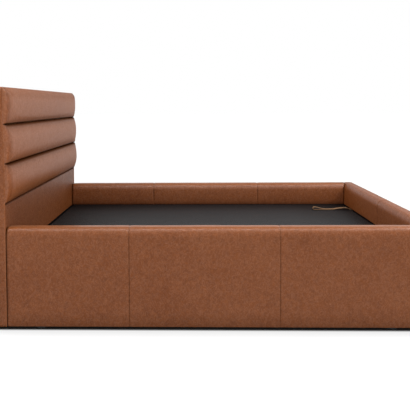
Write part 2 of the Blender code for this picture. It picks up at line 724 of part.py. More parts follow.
def storage_floor():
    """The battens, the middle bearer and the loose boards under the storage space."""
    start, end = HEAD_FACE_X + SEAT_GAP, FOOT_FACE_X - SEAT_GAP
    for name, side in SIDES:
        depths = (SEAT_GAP, SEAT_GAP + BATTEN_DEPTH)
        batten = side_block(side, (start, end), depths, (BATTEN_BOTTOM, BATTEN_TOP))
        finish(batten, f"base_batten_{name}", pine())
    half = BEARER_WIDTH / 2
    bearer = block((start, -half, BATTEN_BOTTOM), (end, half, BATTEN_TOP))
    finish(bearer, "centre_bearer", pine())
    edge = HALF_INNER - BASE_BOARD_ROOM
    ranges = {"head": (HEAD_FACE_X, MIDDLE_X), "foot": (MIDDLE_X, FOOT_FACE_X)}
    for name, (first, last) in ranges.items():
        room = BASE_BOARD_ROOM / 2
        board = block((first + room, -edge, FLOOR_BOTTOM), (last - room, edge, FLOOR_TOP))
        finish(board, f"base_board_{name}", deck_fabric())


def floor_glides():
    """The black glides under the rails, the footboard, the headboard and the middle bearer."""
    end_x = HEAD_FACE_X + INNER_LENGTH * GLIDE_END_SHARE
    far_x = FOOT_FACE_X - INNER_LENGTH * GLIDE_END_SHARE
    rail_y = HALF_INNER + RAIL_THICKNESS / 2
    head_x = (BACK_X + PAD_BACK_X) / 2
    places = {"bearer": (MIDDLE_X, 0, BATTEN_BOTTOM)}
    for name, side in SIDES:
        places[f"rail_head_{name}"] = (end_x, side * rail_y, UNDER_GAP)
        places[f"rail_foot_{name}"] = (far_x, side * rail_y, UNDER_GAP)
        places[f"headboard_{name}"] = (head_x, side * HALF_INNER * HEAD_GLIDE_SHARE, HEAD_FRAME_BOTTOM)
        foot_x = FOOT_FACE_X + RAIL_THICKNESS / 2
        places[f"footboard_{name}"] = (foot_x, side * HALF_INNER * FOOT_GLIDE_SHARE, UNDER_GAP)
    for name, (x, y, under) in places.items():
        height = under - SEAT_GAP
        small = GLIDE_RADIUS - GLIDE_LIP
        profile = [(0, height), (small, height), (GLIDE_RADIUS, GLIDE_LIP), (GLIDE_RADIUS, 0), (0, 0)]
        glide = turned(profile, Matrix.Translation((x, y, 0)), steps=16)
        finish(glide, f"glide_{name}", black_plastic(), smooth_angle=40)


def deck(pivot):
    """The deck that carries the mattress: a timber frame, two boards and a fabric cover."""
    deck_frame(pivot)
    edge = DECK_FABRIC + SEAT_GAP
    for name, side in SIDES:
        ys = sorted((side * DECK_BOARD_JOINT / 2, side * (DECK_HALF - edge)))
        low = (DECK_HEAD_X + edge, ys[0], BOARD_BOTTOM)
        board = block(low, (DECK_FOOT_X - edge, ys[1], BOARD_TOP))
        bevel(board, DECK_EDGE_RADIUS - DECK_FABRIC)
        finish(board, f"deck_board_{name}", plywood(), pivot)
    deck_cover(pivot)


def deck_frame(pivot):
    """A flat timber ladder under the boards: two side members and the members across between them."""
    member = FRAME_MEMBER_WIDTH
    outer = HALF_INNER - ARM_DEPTH - ARM_FLANGE - FRAME_TO_ARM
    start, end = DECK_HEAD_X + FRAME_END_ROOM, DECK_FOOT_X - FRAME_END_ROOM
    pitch = (end - start - member) / DECK_BAYS
    outlines = [rectangle((start, -outer), (end, outer))]
    for i in range(DECK_BAYS):
        first = start + member + pitch * i
        outlines.append(rectangle((first, -outer + member), (first + pitch - member, outer - member)))
    middle = (0, 0, FRAME_TOP - FRAME_MEMBER_HEIGHT / 2)
    frame = outline_solid(outlines, FRAME_MEMBER_HEIGHT, IN_XY, middle)
    finish(frame, "deck_frame", pine(), pivot)


def deck_cover(pivot):
    """The dark fabric over the deck boards, turned down over their edges, with a dip over their joint."""
    builder = bmesh.new()
    bmesh.ops.create_cube(builder, size=1)
    size = (DECK_FOOT_X - DECK_HEAD_X, 2 * DECK_HALF, DECK_TOP - BOARD_BOTTOM)
    middle = ((DECK_FOOT_X + DECK_HEAD_X) / 2, 0, (DECK_TOP + BOARD_BOTTOM) / 2)
    bmesh.ops.scale(builder, vec=size, verts=builder.verts)
    bmesh.ops.translate(builder, vec=middle, verts=builder.verts)
    bottom = [f for f in builder.faces if f.normal.z < -0.5]
    bmesh.ops.delete(builder, geom=bottom, context="FACES_ONLY")
    rounded_edges = [e for e in builder.edges if len(e.link_faces) == 2]
    bmesh.ops.bevel(
        builder, geom=rounded_edges, offset=DECK_EDGE_RADIUS, segments=2, profile=0.5, affect="EDGES"
    )
    cover = object_from(builder, "deck_cover")
    wall = cover.modifiers.new("fabric", "SOLIDIFY")
    wall.thickness = DECK_FABRIC
    wall.offset = -1
    wall.use_even_offset = True
    half = JOINT_DIP_WIDTH / 2
    low = (DECK_HEAD_X - CUT_OVERRUN, -half, DECK_TOP - JOINT_DIP_DEPTH)
    dip = block(low, (DECK_FOOT_X + CUT_OVERRUN, half, DECK_TOP + CUT_OVERRUN))
    combine(cover, [dip], "DIFFERENCE")
    finish(cover, "deck_cover", deck_fabric(), pivot)


def stud(side, place, start, clip_radius):
    """A strut's stud: a collar, a journal that the eye sits on, and a clip that keeps it there."""
    collar = STRUT_DEPTH - EYE_THICKNESS / 2 - SEAT_GAP
    clip = STRUT_DEPTH + EYE_THICKNESS / 2 + SEAT_GAP
    end = clip + STUD_CLIP
    flare = collar - STUD_CLIP
    profile = [
        (0, end),
        (clip_radius, end),
        (clip_radius, clip),
        (STUD_RADIUS, clip),
        (STUD_RADIUS, collar),
        (clip_radius, collar),
        (clip_radius, flare),
        (STUD_COLLAR_RADIUS, flare),
        (STUD_COLLAR_RADIUS, start - FUSED_DEPTH),
        (0, start - FUSED_DEPTH),
    ]
    return turned(profile, across(side, place.x, 0, place.z))


def hinge_plates():
    """The fixed plates on the rails, with the struts' lower studs, and the pins that the deck turns on."""
    low = Vector((PIVOT.x - PLATE_BEHIND, PLATE_BOTTOM))
    high = Vector((PIVOT.x + PLATE_AHEAD, PIVOT.z + PLATE_ABOVE))
    shoulder_x = PIVOT.x + PLATE_BEHIND
    shoulder_z = PIVOT.z - (PIVOT.z - PLATE_BOTTOM) * PLATE_SHOULDER_SHARE
    points = [(low.x, low.y), (high.x, low.y), (high.x, shoulder_z), (shoulder_x, high.y), (low.x, high.y)]
    outline = rounded(points, PLATE_CORNER_RADIUS)
    for name, side in SIDES:
        y = side * (HALF_INNER - SEAT_GAP - PLATE_THICKNESS / 2)
        plate = outline_solid([outline], PLATE_THICKNESS, IN_XZ, (0, y, 0))
        heads = []
        for along, down in PLATE_BOLT_SHARES:
            x = low.x + (high.x - low.x) * along
            z = high.y - (high.y - low.y) * down
            heads.append(bolt_head(across(side, x, PLATE_FACE, z)))
        fixed = [merged(heads), stud(side, STRUT_BASE, PLATE_FACE, BASE_CLIP_RADIUS)]
        combine(plate, fixed, "UNION")
        finish(plate, f"hinge_plate_{name}", black_steel())
        pin = turned(pin_profile(), across(side, PIVOT.x, 0, PIVOT.z), steps=24)
        finish(pin, f"hinge_pin_{name}", zinc_steel(), smooth_angle=40)


def pin_profile():
    """The hinge pin, from its head at the bed's side to its collar on the plate."""
    start = PLATE_FACE + SEAT_GAP
    collar = ARM_DEPTH - 2 * SEAT_GAP
    head = ARM_DEPTH + ARM_THICKNESS + BUSH_FLANGE + 3 * SEAT_GAP
    end = head + PIN_HEAD
    return [
        (0, end),
        (PIN_HEAD_RADIUS, end),
        (PIN_HEAD_RADIUS, head),
        (PIN_RADIUS, head),
        (PIN_RADIUS, collar),
        (PIN_COLLAR_RADIUS, collar),
        (PIN_COLLAR_RADIUS, start),
        (0, start),
    ]


def lift_arms(pivot):
    """The steel angle arms that the deck turns on, with the struts' upper studs, and their bushes."""
    nose, x, z = ARM_NOSE_RADIUS, PIVOT.x, PIVOT.z
    end_x = x + ARM_LENGTH
    bush_radius = PIN_RADIUS + RUNNING_GAP + BUSH_WALL
    outline = arc((x, z), nose, 100, 270, 8)
    outline += [(x + STRUT_TOP_AHEAD, z - ARM_DROP), (end_x, FRAME_TOP - ARM_TIP_DROP), (end_x, FRAME_TOP)]
    outline += [(x + nose, FRAME_TOP)]
    hole = circle((x, z), bush_radius + SEAT_GAP, 24)
    low_z = FRAME_TOP - ARM_FLANGE_THICKNESS
    for name, side in SIDES:
        y = side * (HALF_INNER - ARM_DEPTH - ARM_THICKNESS / 2)
        arm = outline_solid([outline, hole], ARM_THICKNESS, IN_XZ, (0, y, 0))
        depths = (ARM_DEPTH + ARM_THICKNESS / 2, ARM_DEPTH + ARM_FLANGE)
        flange = side_block(side, (x + 2 * nose, end_x), depths, (low_z, FRAME_TOP))
        turn = Matrix.Rotation(math.pi, 4, "X")
        bolt_y = side * (HALF_INNER - ARM_DEPTH - ARM_FLANGE * BRACKET_BOLT_SHARE)
        heads = []
        for share in ARM_BOLT_SHARES:
            place = Matrix.Translation((x + ARM_LENGTH * share, bolt_y, low_z))
            heads.append(bolt_head(place @ turn))
        seat = ARM_DEPTH + ARM_THICKNESS
        combine(arm, [flange, merged(heads), stud(side, STRUT_TOP, seat, TOP_CLIP_RADIUS)], "UNION")
        finish(arm, f"lift_arm_{name}", black_steel(), pivot)

        inner = PIN_RADIUS + RUNNING_GAP
        flange_start = seat + SEAT_GAP
        end = flange_start + BUSH_FLANGE
        profile = [(inner, end), (BUSH_FLANGE_RADIUS, end), (BUSH_FLANGE_RADIUS, flange_start)]
        profile += [(bush_radius, flange_start), (bush_radius, ARM_DEPTH), (inner, ARM_DEPTH)]
        bush = turned(profile, across(side, x, 0, z), steps=24)
        finish(bush, f"hinge_bush_{name}", nylon(), pivot, smooth_angle=40)


def strut_place(side, along):
    """The place of a strut piece: its Z runs from the lower stud to the upper one."""
    middle = STRUT_BASE + STRUT_LINE.normalized() * along
    middle.y = side * (HALF_INNER - STRUT_DEPTH)
    return Matrix.Translation(middle) @ Matrix.Rotation(STRUT_TILT, 4, "Y")


def strut_eye(side, along, hole_radius, way):
    """A strut's end fitting: a flat eye on its stud, with a neck that runs to the strut."""
    outer = hole_radius + EYE_WALL
    neck = EYE_NECK / 2
    lean = math.degrees(math.asin(neck / outer))
    reach = way * (EYE_REACH - SEAT_GAP)
    outline = arc((0, 0), outer, way * (90 + lean), way * (450 - lean), 20)
    outline += [(neck, reach), (-neck, reach)]
    eye = outline_solid([outline, circle((0, 0), hole_radius)], EYE_THICKNESS, IN_XZ, (0, 0, 0))
    eye.matrix_world = strut_place(side, along) @ eye.matrix_world
    return eye


def struts():
    """The two gas struts. Each cylinder turns on its lower stud, and its rod slides out of it."""
    floor = EYE_REACH
    mouth = floor + CYLINDER_LENGTH
    rod_end = STRUT_LENGTH - EYE_REACH
    bore = CYLINDER_RADIUS - CYLINDER_WALL
    gland = ROD_RADIUS + RUNNING_GAP
    inner_end = floor + PISTON_FROM_FLOOR
    cylinder_profile = [
        (0, floor + CYLINDER_WALL),
        (bore, floor + CYLINDER_WALL),
        (bore, mouth - GLAND),
        (gland, mouth - GLAND),
        (gland, mouth),
        (CYLINDER_RADIUS - CYLINDER_WALL, mouth),
        (CYLINDER_RADIUS, mouth - CYLINDER_WALL),
        (CYLINDER_RADIUS, floor + CYLINDER_WALL),
        (CYLINDER_RADIUS - CYLINDER_WALL, floor),
        (0, floor),
    ]
    rod_profile = [
        (0, rod_end),
        (ROD_RADIUS, rod_end),
        (ROD_RADIUS, inner_end + PISTON),
        (bore - RUNNING_GAP, inner_end + PISTON),
        (bore - RUNNING_GAP, inner_end),
        (0, inner_end),
    ]
    for name, side in SIDES:
        depth = side * (HALF_INNER - STRUT_DEPTH)
        base = joint_empty(f"strut_base_{name}", (STRUT_BASE.x, depth, STRUT_BASE.z), STRUT_TILT)
        slide = joint_empty(f"strut_slide_{name}", (STRUT_TOP.x, depth, STRUT_TOP.z), STRUT_TILT)
        cylinder = turned(cylinder_profile, strut_place(side, 0))
        finish(cylinder, f"strut_cylinder_{name}", black_steel(), base, smooth_angle=40)
        lower = strut_eye(side, 0, STUD_RADIUS + RUNNING_GAP, 1)
        finish(lower, f"strut_lower_eye_{name}", zinc_steel(), base)
        rod = turned(rod_profile, strut_place(side, 0))
        finish(rod, f"strut_rod_{name}", chrome(), slide, smooth_angle=40)
        upper = strut_eye(side, STRUT_LENGTH, STUD_RADIUS + TOP_EYE_PLAY, -1)
        finish(upper, f"strut_upper_eye_{name}", zinc_steel(), slide)


def strap_path():
    """The strap's middle line seen from the side: down the deck's end, along its top, folded and back."""
    half = STRAP_THICKNESS / 2
    clear = 2 * SEAT_GAP + half
    lift = STRAP_THICKNESS + STRAP_LAYER_GAP
    bend = (DECK_FOOT_X - DECK_EDGE_RADIUS, DECK_TOP - DECK_EDGE_RADIUS)
    near, far = DECK_EDGE_RADIUS + clear, DECK_EDGE_RADIUS + clear + lift
    fold = STRAP_FOLD_GAP / 2 + half
    fold_x = DECK_FOOT_X - STRAP_REACH + fold
    rest = DECK_TOP + clear

    lower = [(bend[0] + near, DECK_TOP - STRAP_HANG)] + arc(bend, near, 0, 90, 5)
    upper = [(bend[0] + far, DECK_TOP - STRAP_HANG)] + arc(bend, far, 0, 90, 5)
    for i in range(1, STRAP_STEPS):
        share = i / STRAP_STEPS
        x = bend[0] + (fold_x - bend[0]) * share
        swell = math.sin(math.pi * share) ** 2
        wave = STRAP_WAVE * swell * (1 - math.cos(2 * math.pi * STRAP_WAVES * share)) / 2
        spread = max(0.0, (share - 1 + STRAP_SPREAD_SHARE) / STRAP_SPREAD_SHARE)
        spread = spread * spread * (3 - 2 * spread)
        lower.append((x, rest + wave))
        upper.append((x, rest + wave + lift + (2 * fold - lift) * spread))
    return lower + arc((fold_x, rest + fold), fold, 270, 90, 8) + list(reversed(upper))


def pull_strap(pivot):
    """The leather strap that lifts the deck, folded flat on it, with the plate that clamps both its ends."""
    strap = drawn_curve([strap_path()], STRAP_WIDTH / 2, IN_XZ, (0, STRAP_SIDE, 0), False)
    wall = strap.modifiers.new("leather", "SOLIDIFY")
    wall.thickness = STRAP_THICKNESS
    wall.offset = 0
    wall.use_even_offset = True
    finish(strap, "pull_strap", tan_leather(), pivot, smooth_angle=40)

    front = DECK_FOOT_X + 3 * SEAT_GAP + 2 * STRAP_THICKNESS + STRAP_LAYER_GAP
    half = STRAP_WIDTH / 2 + CLAMP_OVERHANG
    top = DECK_TOP - DECK_EDGE_RADIUS
    low = (front, STRAP_SIDE - half, BOARD_BOTTOM)
    plate = block(low, (front + CLAMP_THICKNESS, STRAP_SIDE + half, top))
    finish(plate, "strap_clamp", black_steel(), pivot)


def main():
    clear_scene()
    pivot = joint_empty("deck_pivot", PIVOT)
    headboard()
    rails_and_footboard()
    corner_brackets()
    ledgers()
    storage_floor()
    floor_glides()
    hinge_plates()
    deck(pivot)
    lift_arms(pivot)
    struts()
    pull_strap(pivot)


main()
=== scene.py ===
import math

import bmesh
import bpy
import numpy as np
from mathutils import Matrix, Vector, noise


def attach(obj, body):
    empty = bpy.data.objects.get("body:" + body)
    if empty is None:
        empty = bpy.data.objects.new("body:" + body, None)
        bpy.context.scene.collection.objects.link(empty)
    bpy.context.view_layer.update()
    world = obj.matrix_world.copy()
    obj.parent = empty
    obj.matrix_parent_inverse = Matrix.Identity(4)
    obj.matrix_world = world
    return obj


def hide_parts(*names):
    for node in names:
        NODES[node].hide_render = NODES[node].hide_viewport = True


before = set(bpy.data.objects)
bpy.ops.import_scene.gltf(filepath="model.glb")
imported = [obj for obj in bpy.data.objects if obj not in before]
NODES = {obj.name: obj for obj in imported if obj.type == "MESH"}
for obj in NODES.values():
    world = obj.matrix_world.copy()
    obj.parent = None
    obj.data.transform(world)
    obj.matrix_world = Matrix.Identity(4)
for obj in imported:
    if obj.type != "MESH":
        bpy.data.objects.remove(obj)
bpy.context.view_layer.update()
MM = 0.001

# The bed in metres: the head at low x, the near rail at low y, the floor at z 0
BACK_X, PAD_BACK_X, FACE_X, BORDER_BASE_X = -1.105, -1.013, -1.005, -1.0133
FOOT_X, HALF_INNER, HALF_OUTER = 1.013, 0.758, 0.850
UNDER, RAIL_TOP, HEAD_TOP, DECK_TOP = 0.0135, 0.4945, 1.173, 0.340
RAIL_THICK, INNER_LENGTH, MIDDLE_X = 0.092, 2.018, 0.004
DECK_LOW_X, DECK_HIGH_X, DECK_HALF = -0.991, 0.999, 0.748
PAD_HALF, LOW_SEAM, MIDDLE_SEAM, HIGH_SEAM = 0.8485, 0.610, 0.802, 0.992

# The seams of the rails, from the headboard, and of the footboard, from the middle
FAR_RAIL_SEAMS, NEAR_RAIL_SEAMS, FOOTBOARD_SEAMS = (0.612, 1.382), (0.594, 1.318), (-0.039,)
SEAM_DEPTH, SEAM_REACH = 1.2 * MM, 15 * MM
STITCH_DEPTH, STITCH_REACH = 1.8 * MM, 3.0 * MM
END_SAG_REACH = 58 * MM
SHOULDER_DROP = 46 * MM
BOARD_SLOT = 15.3 * MM

LINING_HALF, LINING_LOW, LINING_HIGH = 0.8370, UNDER + 0.5 * MM, 1.1600
STAPLE = (0.5 * MM, 10 * MM, 1.1 * MM)
STAPLE_INSET = 9 * MM
STRAP_WIDE, STRAP_THICK, STRAP_SIDE, STRAP_REACH = 28 * MM, 2.4 * MM, 0.524, 0.262

# The dark brown is for seams and painted shade. The black is for the lining inside the box, which
# also paints the shade in the gap round the deck.
SEAM_AND_PAINTED_SHADE_BROWN = (0.013, 0.0035, 0.001)
LINING_AND_PAINTED_SHADE_BLACK = (0.006, 0.006, 0.006)


class Nodes:
    """The nodes of one material, each made by a short call."""

    def __init__(self, name):
        self.made = bpy.data.materials.new(name)
        self.made.use_nodes = True
        self.tree = self.made.node_tree
        self.shader = self.tree.nodes["Principled BSDF"]
        self.coords = self.tree.nodes.new("ShaderNodeTexCoord").outputs["Object"]

    def node(self, kind, **values):
        made = self.tree.nodes.new(kind)
        for key, value in values.items():
            setattr(made, key, value)
        return made

    def link(self, source, target):
        self.tree.links.new(source, target)

    def fill(self, socket, value):
        if isinstance(value, (int, float, tuple)):
            socket.default_value = value
        else:
            self.link(value, socket)

    def place(self):
        """The place on the object, as its x, y and z."""
        split = self.node("ShaderNodeSeparateXYZ")
        self.link(self.coords, split.inputs[0])
        return [split.outputs[axis] for axis in "XYZ"]

    def stretched(self, scale):
        made = self.node("ShaderNodeMapping")
        self.link(self.coords, made.inputs["Vector"])
        made.inputs["Scale"].default_value = scale
        return made.outputs["Vector"]

    def noise(self, scale, detail=4.0, rough=0.55, distortion=0.0, vector=None):
        made = self.node("ShaderNodeTexNoise")
        self.link(vector or self.coords, made.inputs["Vector"])
        made.inputs["Scale"].default_value = scale
        made.inputs["Detail"].default_value = detail
        made.inputs["Roughness"].default_value = rough
        made.inputs["Distortion"].default_value = distortion
        return made.outputs["Fac"]

    def cells(self, scale, feature="F1"):
        made = self.node("ShaderNodeTexVoronoi", feature=feature)
        self.link(self.coords, made.inputs["Vector"])
        made.inputs["Scale"].default_value = scale
        return made.outputs["Distance"]

    def wave(self, scale, direction, vector=None, distortion=0.0):
        made = self.node("ShaderNodeTexWave", bands_direction=direction)
        self.link(vector or self.coords, made.inputs["Vector"])
        made.inputs["Scale"].default_value = scale
        made.inputs["Distortion"].default_value = distortion
        return made.outputs["Fac"]

    def spread(self, value, low, high, to_low=0.0, to_high=1.0, kind="LINEAR"):
        """A value between low and high, spread from to_low to to_high."""
        made = self.node("ShaderNodeMapRange", interpolation_type=kind)
        self.link(value, made.inputs["Value"])
        limits = {"From Min": low, "From Max": high, "To Min": to_low, "To Max": to_high}
        for key, number in limits.items():
            made.inputs[key].default_value = number
        return made.outputs["Result"]

    def maths(self, operation, first, second=0.0):
        made = self.node("ShaderNodeMath", operation=operation)
        self.fill(made.inputs[0], first)
        self.fill(made.inputs[1], second)
        return made.outputs[0]

    def blend(self, share, first, second):
        made = self.node("ShaderNodeMix", data_type="RGBA")
        self.fill(made.inputs["Factor"], share)
        for socket, value in ((made.inputs[6], first), (made.inputs[7], second)):
            self.fill(socket, (*value, 1.0) if isinstance(value, tuple) else value)
        return made.outputs[2]

    def attribute(self, name):
        return self.node("ShaderNodeAttribute", attribute_name=name).outputs["Fac"]

    def lining(self):
        """One inside the box below the deck's top, where the leather is painted black as lining,
        which also paints the shade in the gap round the deck.
        """
        x, y, z = self.place()
        low = self.maths("LESS_THAN", z, DECK_TOP + 0.5 * MM)
        within = self.maths("LESS_THAN", self.maths("ABSOLUTE", y), HALF_INNER + 2.5 * MM)
        before = self.maths("LESS_THAN", x, FOOT_X + 2.5 * MM)
        after = self.maths("GREATER_THAN", x, FACE_X - 4.5 * MM)
        inside = self.maths("MULTIPLY", before, after)
        return self.maths("MULTIPLY", self.maths("MULTIPLY", low, within), inside)

    def bump(self, height, distance, strength=1.0, after=None):
        made = self.node("ShaderNodeBump")
        made.inputs["Strength"].default_value = strength
        made.inputs["Distance"].default_value = distance
        self.link(height, made.inputs["Height"])
        if after is not None:
            self.link(after, made.inputs["Normal"])
        return made.outputs["Normal"]

    def out(self, colour, rough, normal=None, **fixed):
        """Join the colour, roughness and normal to the shader and set its fixed values."""
        self.link(colour, self.shader.inputs["Base Color"])
        self.fill(self.shader.inputs["Roughness"], rough)
        if normal is not None:
            self.link(normal, self.shader.inputs["Normal"])
        for key, value in fixed.items():
            self.shader.inputs[key.replace("_", " ")].default_value = value
        return self.made


def leather(name, deep, middle, light):
    """Waxed leather: broad tone changes, mottling, pale flecks and veins, and a pebbled grain.

    Its points say where it lies in its seams and in painted shade, where it has wear and painted
    highlight, and where its wax is drier and painted light falls on it.
    """
    n = Nodes(name)
    seam_and_painted_shade, wear_and_painted_highlight, dry_wax_and_painted_light = n.attribute("seam_and_painted_shade"), n.attribute("wear_and_painted_highlight"), n.attribute("dry_wax_and_painted_light")
    lining_and_painted_shade = n.lining()
    broad = n.noise(2.6, 3.0, 0.5)
    mottle = n.noise(46.0, 7.0, 0.70, 1.2, n.stretched((1.0, 1.0, 0.85)))
    crackle = n.noise(125.0, 4.0, 0.6, 2.2)
    grain = n.noise(78.0, 5.0, 0.7, 2.4, n.stretched((1.2, 1.2, 0.8)))
    flecks = n.spread(grain, 0.52, 0.70)
    vein = n.noise(40.0, 2.0, 0.5, 1.6, n.stretched((1.1, 1.1, 0.9)))
    vein = n.spread(n.maths("ABSOLUTE", n.maths("SUBTRACT", vein, 0.5)), 0.005, 0.075, 1.0, 0.0)

    colour = n.blend(n.spread(mottle, 0.33, 0.67), deep, middle)
    colour = n.blend(n.maths("MULTIPLY", flecks, 0.17), colour, light)
    colour = n.blend(n.maths("MULTIPLY", vein, 0.22), colour, light)
    colour = n.blend(n.spread(broad, 0.35, 0.7, 0.0, 0.14), colour, light)
    colour = n.blend(n.spread(crackle, 0.58, 0.74, 0.0, 0.30), colour, deep)
    # Wear and painted highlight make it paler, and painted light makes the drier parts paler. Seams
    # and painted shade make it darker. Inside the box, the black lining paints the shade in the gap
    # round the deck.
    colour = n.blend(n.maths("MULTIPLY", wear_and_painted_highlight, 0.38), colour, light)
    colour = n.blend(n.spread(dry_wax_and_painted_light, 0.0, 0.5, 0.0, 0.27), colour, light)
    colour = n.blend(n.maths("MULTIPLY", seam_and_painted_shade, 0.92), colour, SEAM_AND_PAINTED_SHADE_BROWN)
    colour = n.blend(lining_and_painted_shade, colour, LINING_AND_PAINTED_SHADE_BLACK)

    rough = n.spread(mottle, 0.3, 0.7, 0.52, 0.42)
    rough = n.maths("SUBTRACT", rough, n.maths("MULTIPLY", flecks, 0.08))
    rough = n.maths("SUBTRACT", rough, n.maths("MULTIPLY", wear_and_painted_highlight, 0.21))
    for dull in (seam_and_painted_shade, lining_and_painted_shade):
        rough = n.maths("MAXIMUM", rough, n.maths("MULTIPLY", dull, 0.95))

    normal = n.bump(n.spread(n.cells(520.0), 0.0, 0.9), 0.00035, 0.45)
    pebbles = n.spread(n.cells(210.0, "DISTANCE_TO_EDGE"), 0.0, 0.12)
    normal = n.bump(pebbles, 0.0003, 0.30, normal)
    normal = n.bump(mottle, 0.0012, 0.30, normal)

    shine = n.maths("SUBTRACT", 1.0, n.maths("MAXIMUM", seam_and_painted_shade, lining_and_painted_shade))
    shine = n.maths("MULTIPLY", shine, n.spread(dry_wax_and_painted_light, -1.0, 1.0, 1.45, 0.55))
    waxed = n.spread(grain, 0.36, 0.64, 0.30, 0.52)
    waxed = n.maths("ADD", waxed, n.maths("MULTIPLY", vein, 0.14))
    shine = n.maths("MULTIPLY", shine, waxed)
    n.link(shine, n.shader.inputs["Specular IOR Level"])
    return n.out(colour, rough, normal, Specular_IOR_Level=0.48)


def woven(name, warp, weft, fineness, rough=0.92, gloss=0.25, edge_half=None):
    """A plain weave of fine threads with slubs and a faint nap.

    With edge_half, half its width, painted shade makes the cloth darker and duller towards its
    edges.
    """
    n = Nodes(name)
    threads = n.maths("MAXIMUM", n.wave(fineness, "X"), n.wave(fineness, "Y"))
    slubs = n.noise(60.0, 5.0, 0.65, 0.0, n.stretched((1.0, 9.0, 1.0)))
    cloudy = n.noise(3.4, 3.0)
    colour = n.blend(n.spread(threads, 0.2, 1.0), weft, warp)
    colour = n.blend(n.spread(slubs, 0.45, 0.75, 0.0, 0.5), colour, warp)
    colour = n.blend(n.spread(cloudy, 0.3, 0.7, 0.0, 0.16), colour, warp)
    if edge_half:
        # Painted shade: the cloth darkens towards black and loses gloss towards its edges, where
        # the rails and boards stand over it.
        x, y, _ = n.place()
        across = n.maths("SUBTRACT", edge_half, n.maths("ABSOLUTE", y))
        along = n.maths("SUBTRACT", edge_half * 1.33, n.maths("ABSOLUTE", x))
        across = n.spread(across, 0.0, 0.30, 0.50, 1.0)
        along = n.spread(along, 0.0, 0.45, 0.50, 1.0)
        painted_light_away_from_edges = n.maths("MULTIPLY", across, along)
        colour = n.blend(painted_light_away_from_edges, (0.0, 0.0, 0.0), colour)
        shine = n.maths("MULTIPLY", painted_light_away_from_edges, gloss)
        n.link(shine, n.shader.inputs["Specular IOR Level"])
        gloss = 0.2
    normal = n.bump(threads, 0.0004, 0.5)
    normal = n.bump(slubs, 0.0008, 0.25, normal)
    dull = n.spread(slubs, 0.3, 0.7, rough, rough - 0.1)
    return n.out(colour, dull, normal, Specular_IOR_Level=gloss)


def timber(name, pale, dark, along):
    """Sawn softwood with growth rings drawn out along the grain, pores and saw marks."""
    n = Nodes(name)
    vector = n.stretched([0.35 if axis == along else 9.0 for axis in "XYZ"])
    rings = n.wave(3.2, "DIAGONAL", vector, 5.0)
    fibre = n.noise(34.0, 6.0, 0.7, 0.2, vector)
    colour = n.blend(n.spread(rings, 0.2, 0.9), pale, dark)
    colour = n.blend(n.spread(fibre, 0.35, 0.75, 0.0, 0.5), colour, dark)
    colour = n.blend(n.spread(n.noise(5.0), 0.4, 0.8, 0.0, 0.3), colour, pale)
    return n.out(colour, n.spread(fibre, 0.3, 0.7, 0.62, 0.78), n.bump(fibre, 0.0008, 0.35))


def plies(name, pale, dark, line):
    """Birch plywood: a faint cathedral figure on the faces and fine lines on the edges."""
    n = Nodes(name)
    figure = n.wave(1.3, "Y", n.stretched((0.5, 2.2, 60.0)), 9.0)
    fibre = n.noise(22.0, 6.0, 0.7, 0.3, n.stretched((1.0, 14.0, 14.0)))
    colour = n.blend(n.spread(figure, 0.2, 0.9), pale, dark)
    colour = n.blend(n.spread(fibre, 0.4, 0.8, 0.0, 0.4), colour, line)
    return n.out(colour, n.spread(fibre, 0.3, 0.7, 0.55, 0.7), n.bump(fibre, 0.0005, 0.3))


def steel(name, colour, rough, metallic, speck=0.1):
    """Painted, plated or ground steel with fine specks and a soft change in gloss."""
    n = Nodes(name)
    fine = n.noise(900.0, 3.0, 0.6)
    broad = n.noise(14.0, 4.0, 0.6)
    bright = tuple(min(1.0, c * 1.35 + 0.01) for c in colour)
    tone = n.blend(n.spread(broad, 0.35, 0.7, 0.0, 0.5), colour, bright)
    tone = n.blend(n.spread(fine, 0.55, 0.75, 0.0, speck * 3), tone, bright)
    dull = n.spread(broad, 0.3, 0.7, rough - 0.06, rough + 0.08)
    dull = n.maths("ADD", dull, n.spread(fine, 0.3, 0.7, -0.03, 0.03))
    return n.out(tone, dull, n.bump(fine, 0.0001, 0.25), Metallic=metallic)


def moulded(name, colour, rough):
    """Moulded plastic or rubber with a fine spark texture."""
    n = Nodes(name)
    spark = n.noise(1400.0, 3.0, 0.6)
    broad = n.noise(20.0, 3.0)
    paler = tuple(min(1.0, c * 1.3 + 0.008) for c in colour)
    tone = n.blend(n.spread(broad, 0.35, 0.7, 0.0, 0.6), colour, paler)
    dull = n.spread(spark, 0.3, 0.7, rough - 0.05, rough + 0.07)
    return n.out(tone, dull, n.bump(spark, 0.0001, 0.4))


PINE = ((0.66, 0.45, 0.24), (0.46, 0.26, 0.11))
STAINED = ((0.020, 0.019, 0.018), (0.009, 0.0085, 0.008))

TAN = leather("tan_leather_grained",
              (0.136, 0.0315, 0.0030), (0.206, 0.0515, 0.0058), (0.352, 0.124, 0.044))
STRAP_TAN = leather("strap_leather",
                    (0.15, 0.075, 0.032), (0.23, 0.125, 0.058), (0.36, 0.22, 0.115))
DECK_CLOTH = woven("deck_weave", (0.0164, 0.0165, 0.0178), (0.0077, 0.0077, 0.0084),
                   908.63, 0.58, 0.24, DECK_HALF)
BOARD_CLOTH = woven("board_felt", (0.060, 0.058, 0.058), (0.034, 0.033, 0.034), 624.683)
LINING = woven("black_spunbond", (0.022, 0.022, 0.024), (0.009, 0.009, 0.010),
               1110.548, 0.85, 0.1)
PINE_X = timber("pine_lengthwise", *PINE, "X")
PINE_Y = timber("pine_crosswise", *PINE, "Y")
PINE_Z = timber("pine_upright", *PINE, "Z")
STAINED_X = timber("black_stained_lengthwise", *STAINED, "X")
STAINED_Y = timber("black_stained_crosswise", *STAINED, "Y")
PLY = plies("birch_plywood", (0.60, 0.43, 0.26), (0.545, 0.375, 0.215), (0.36, 0.22, 0.12))
BLACK_STEEL = steel("powder_coated_steel", (0.018, 0.018, 0.019), 0.46, 0.0)
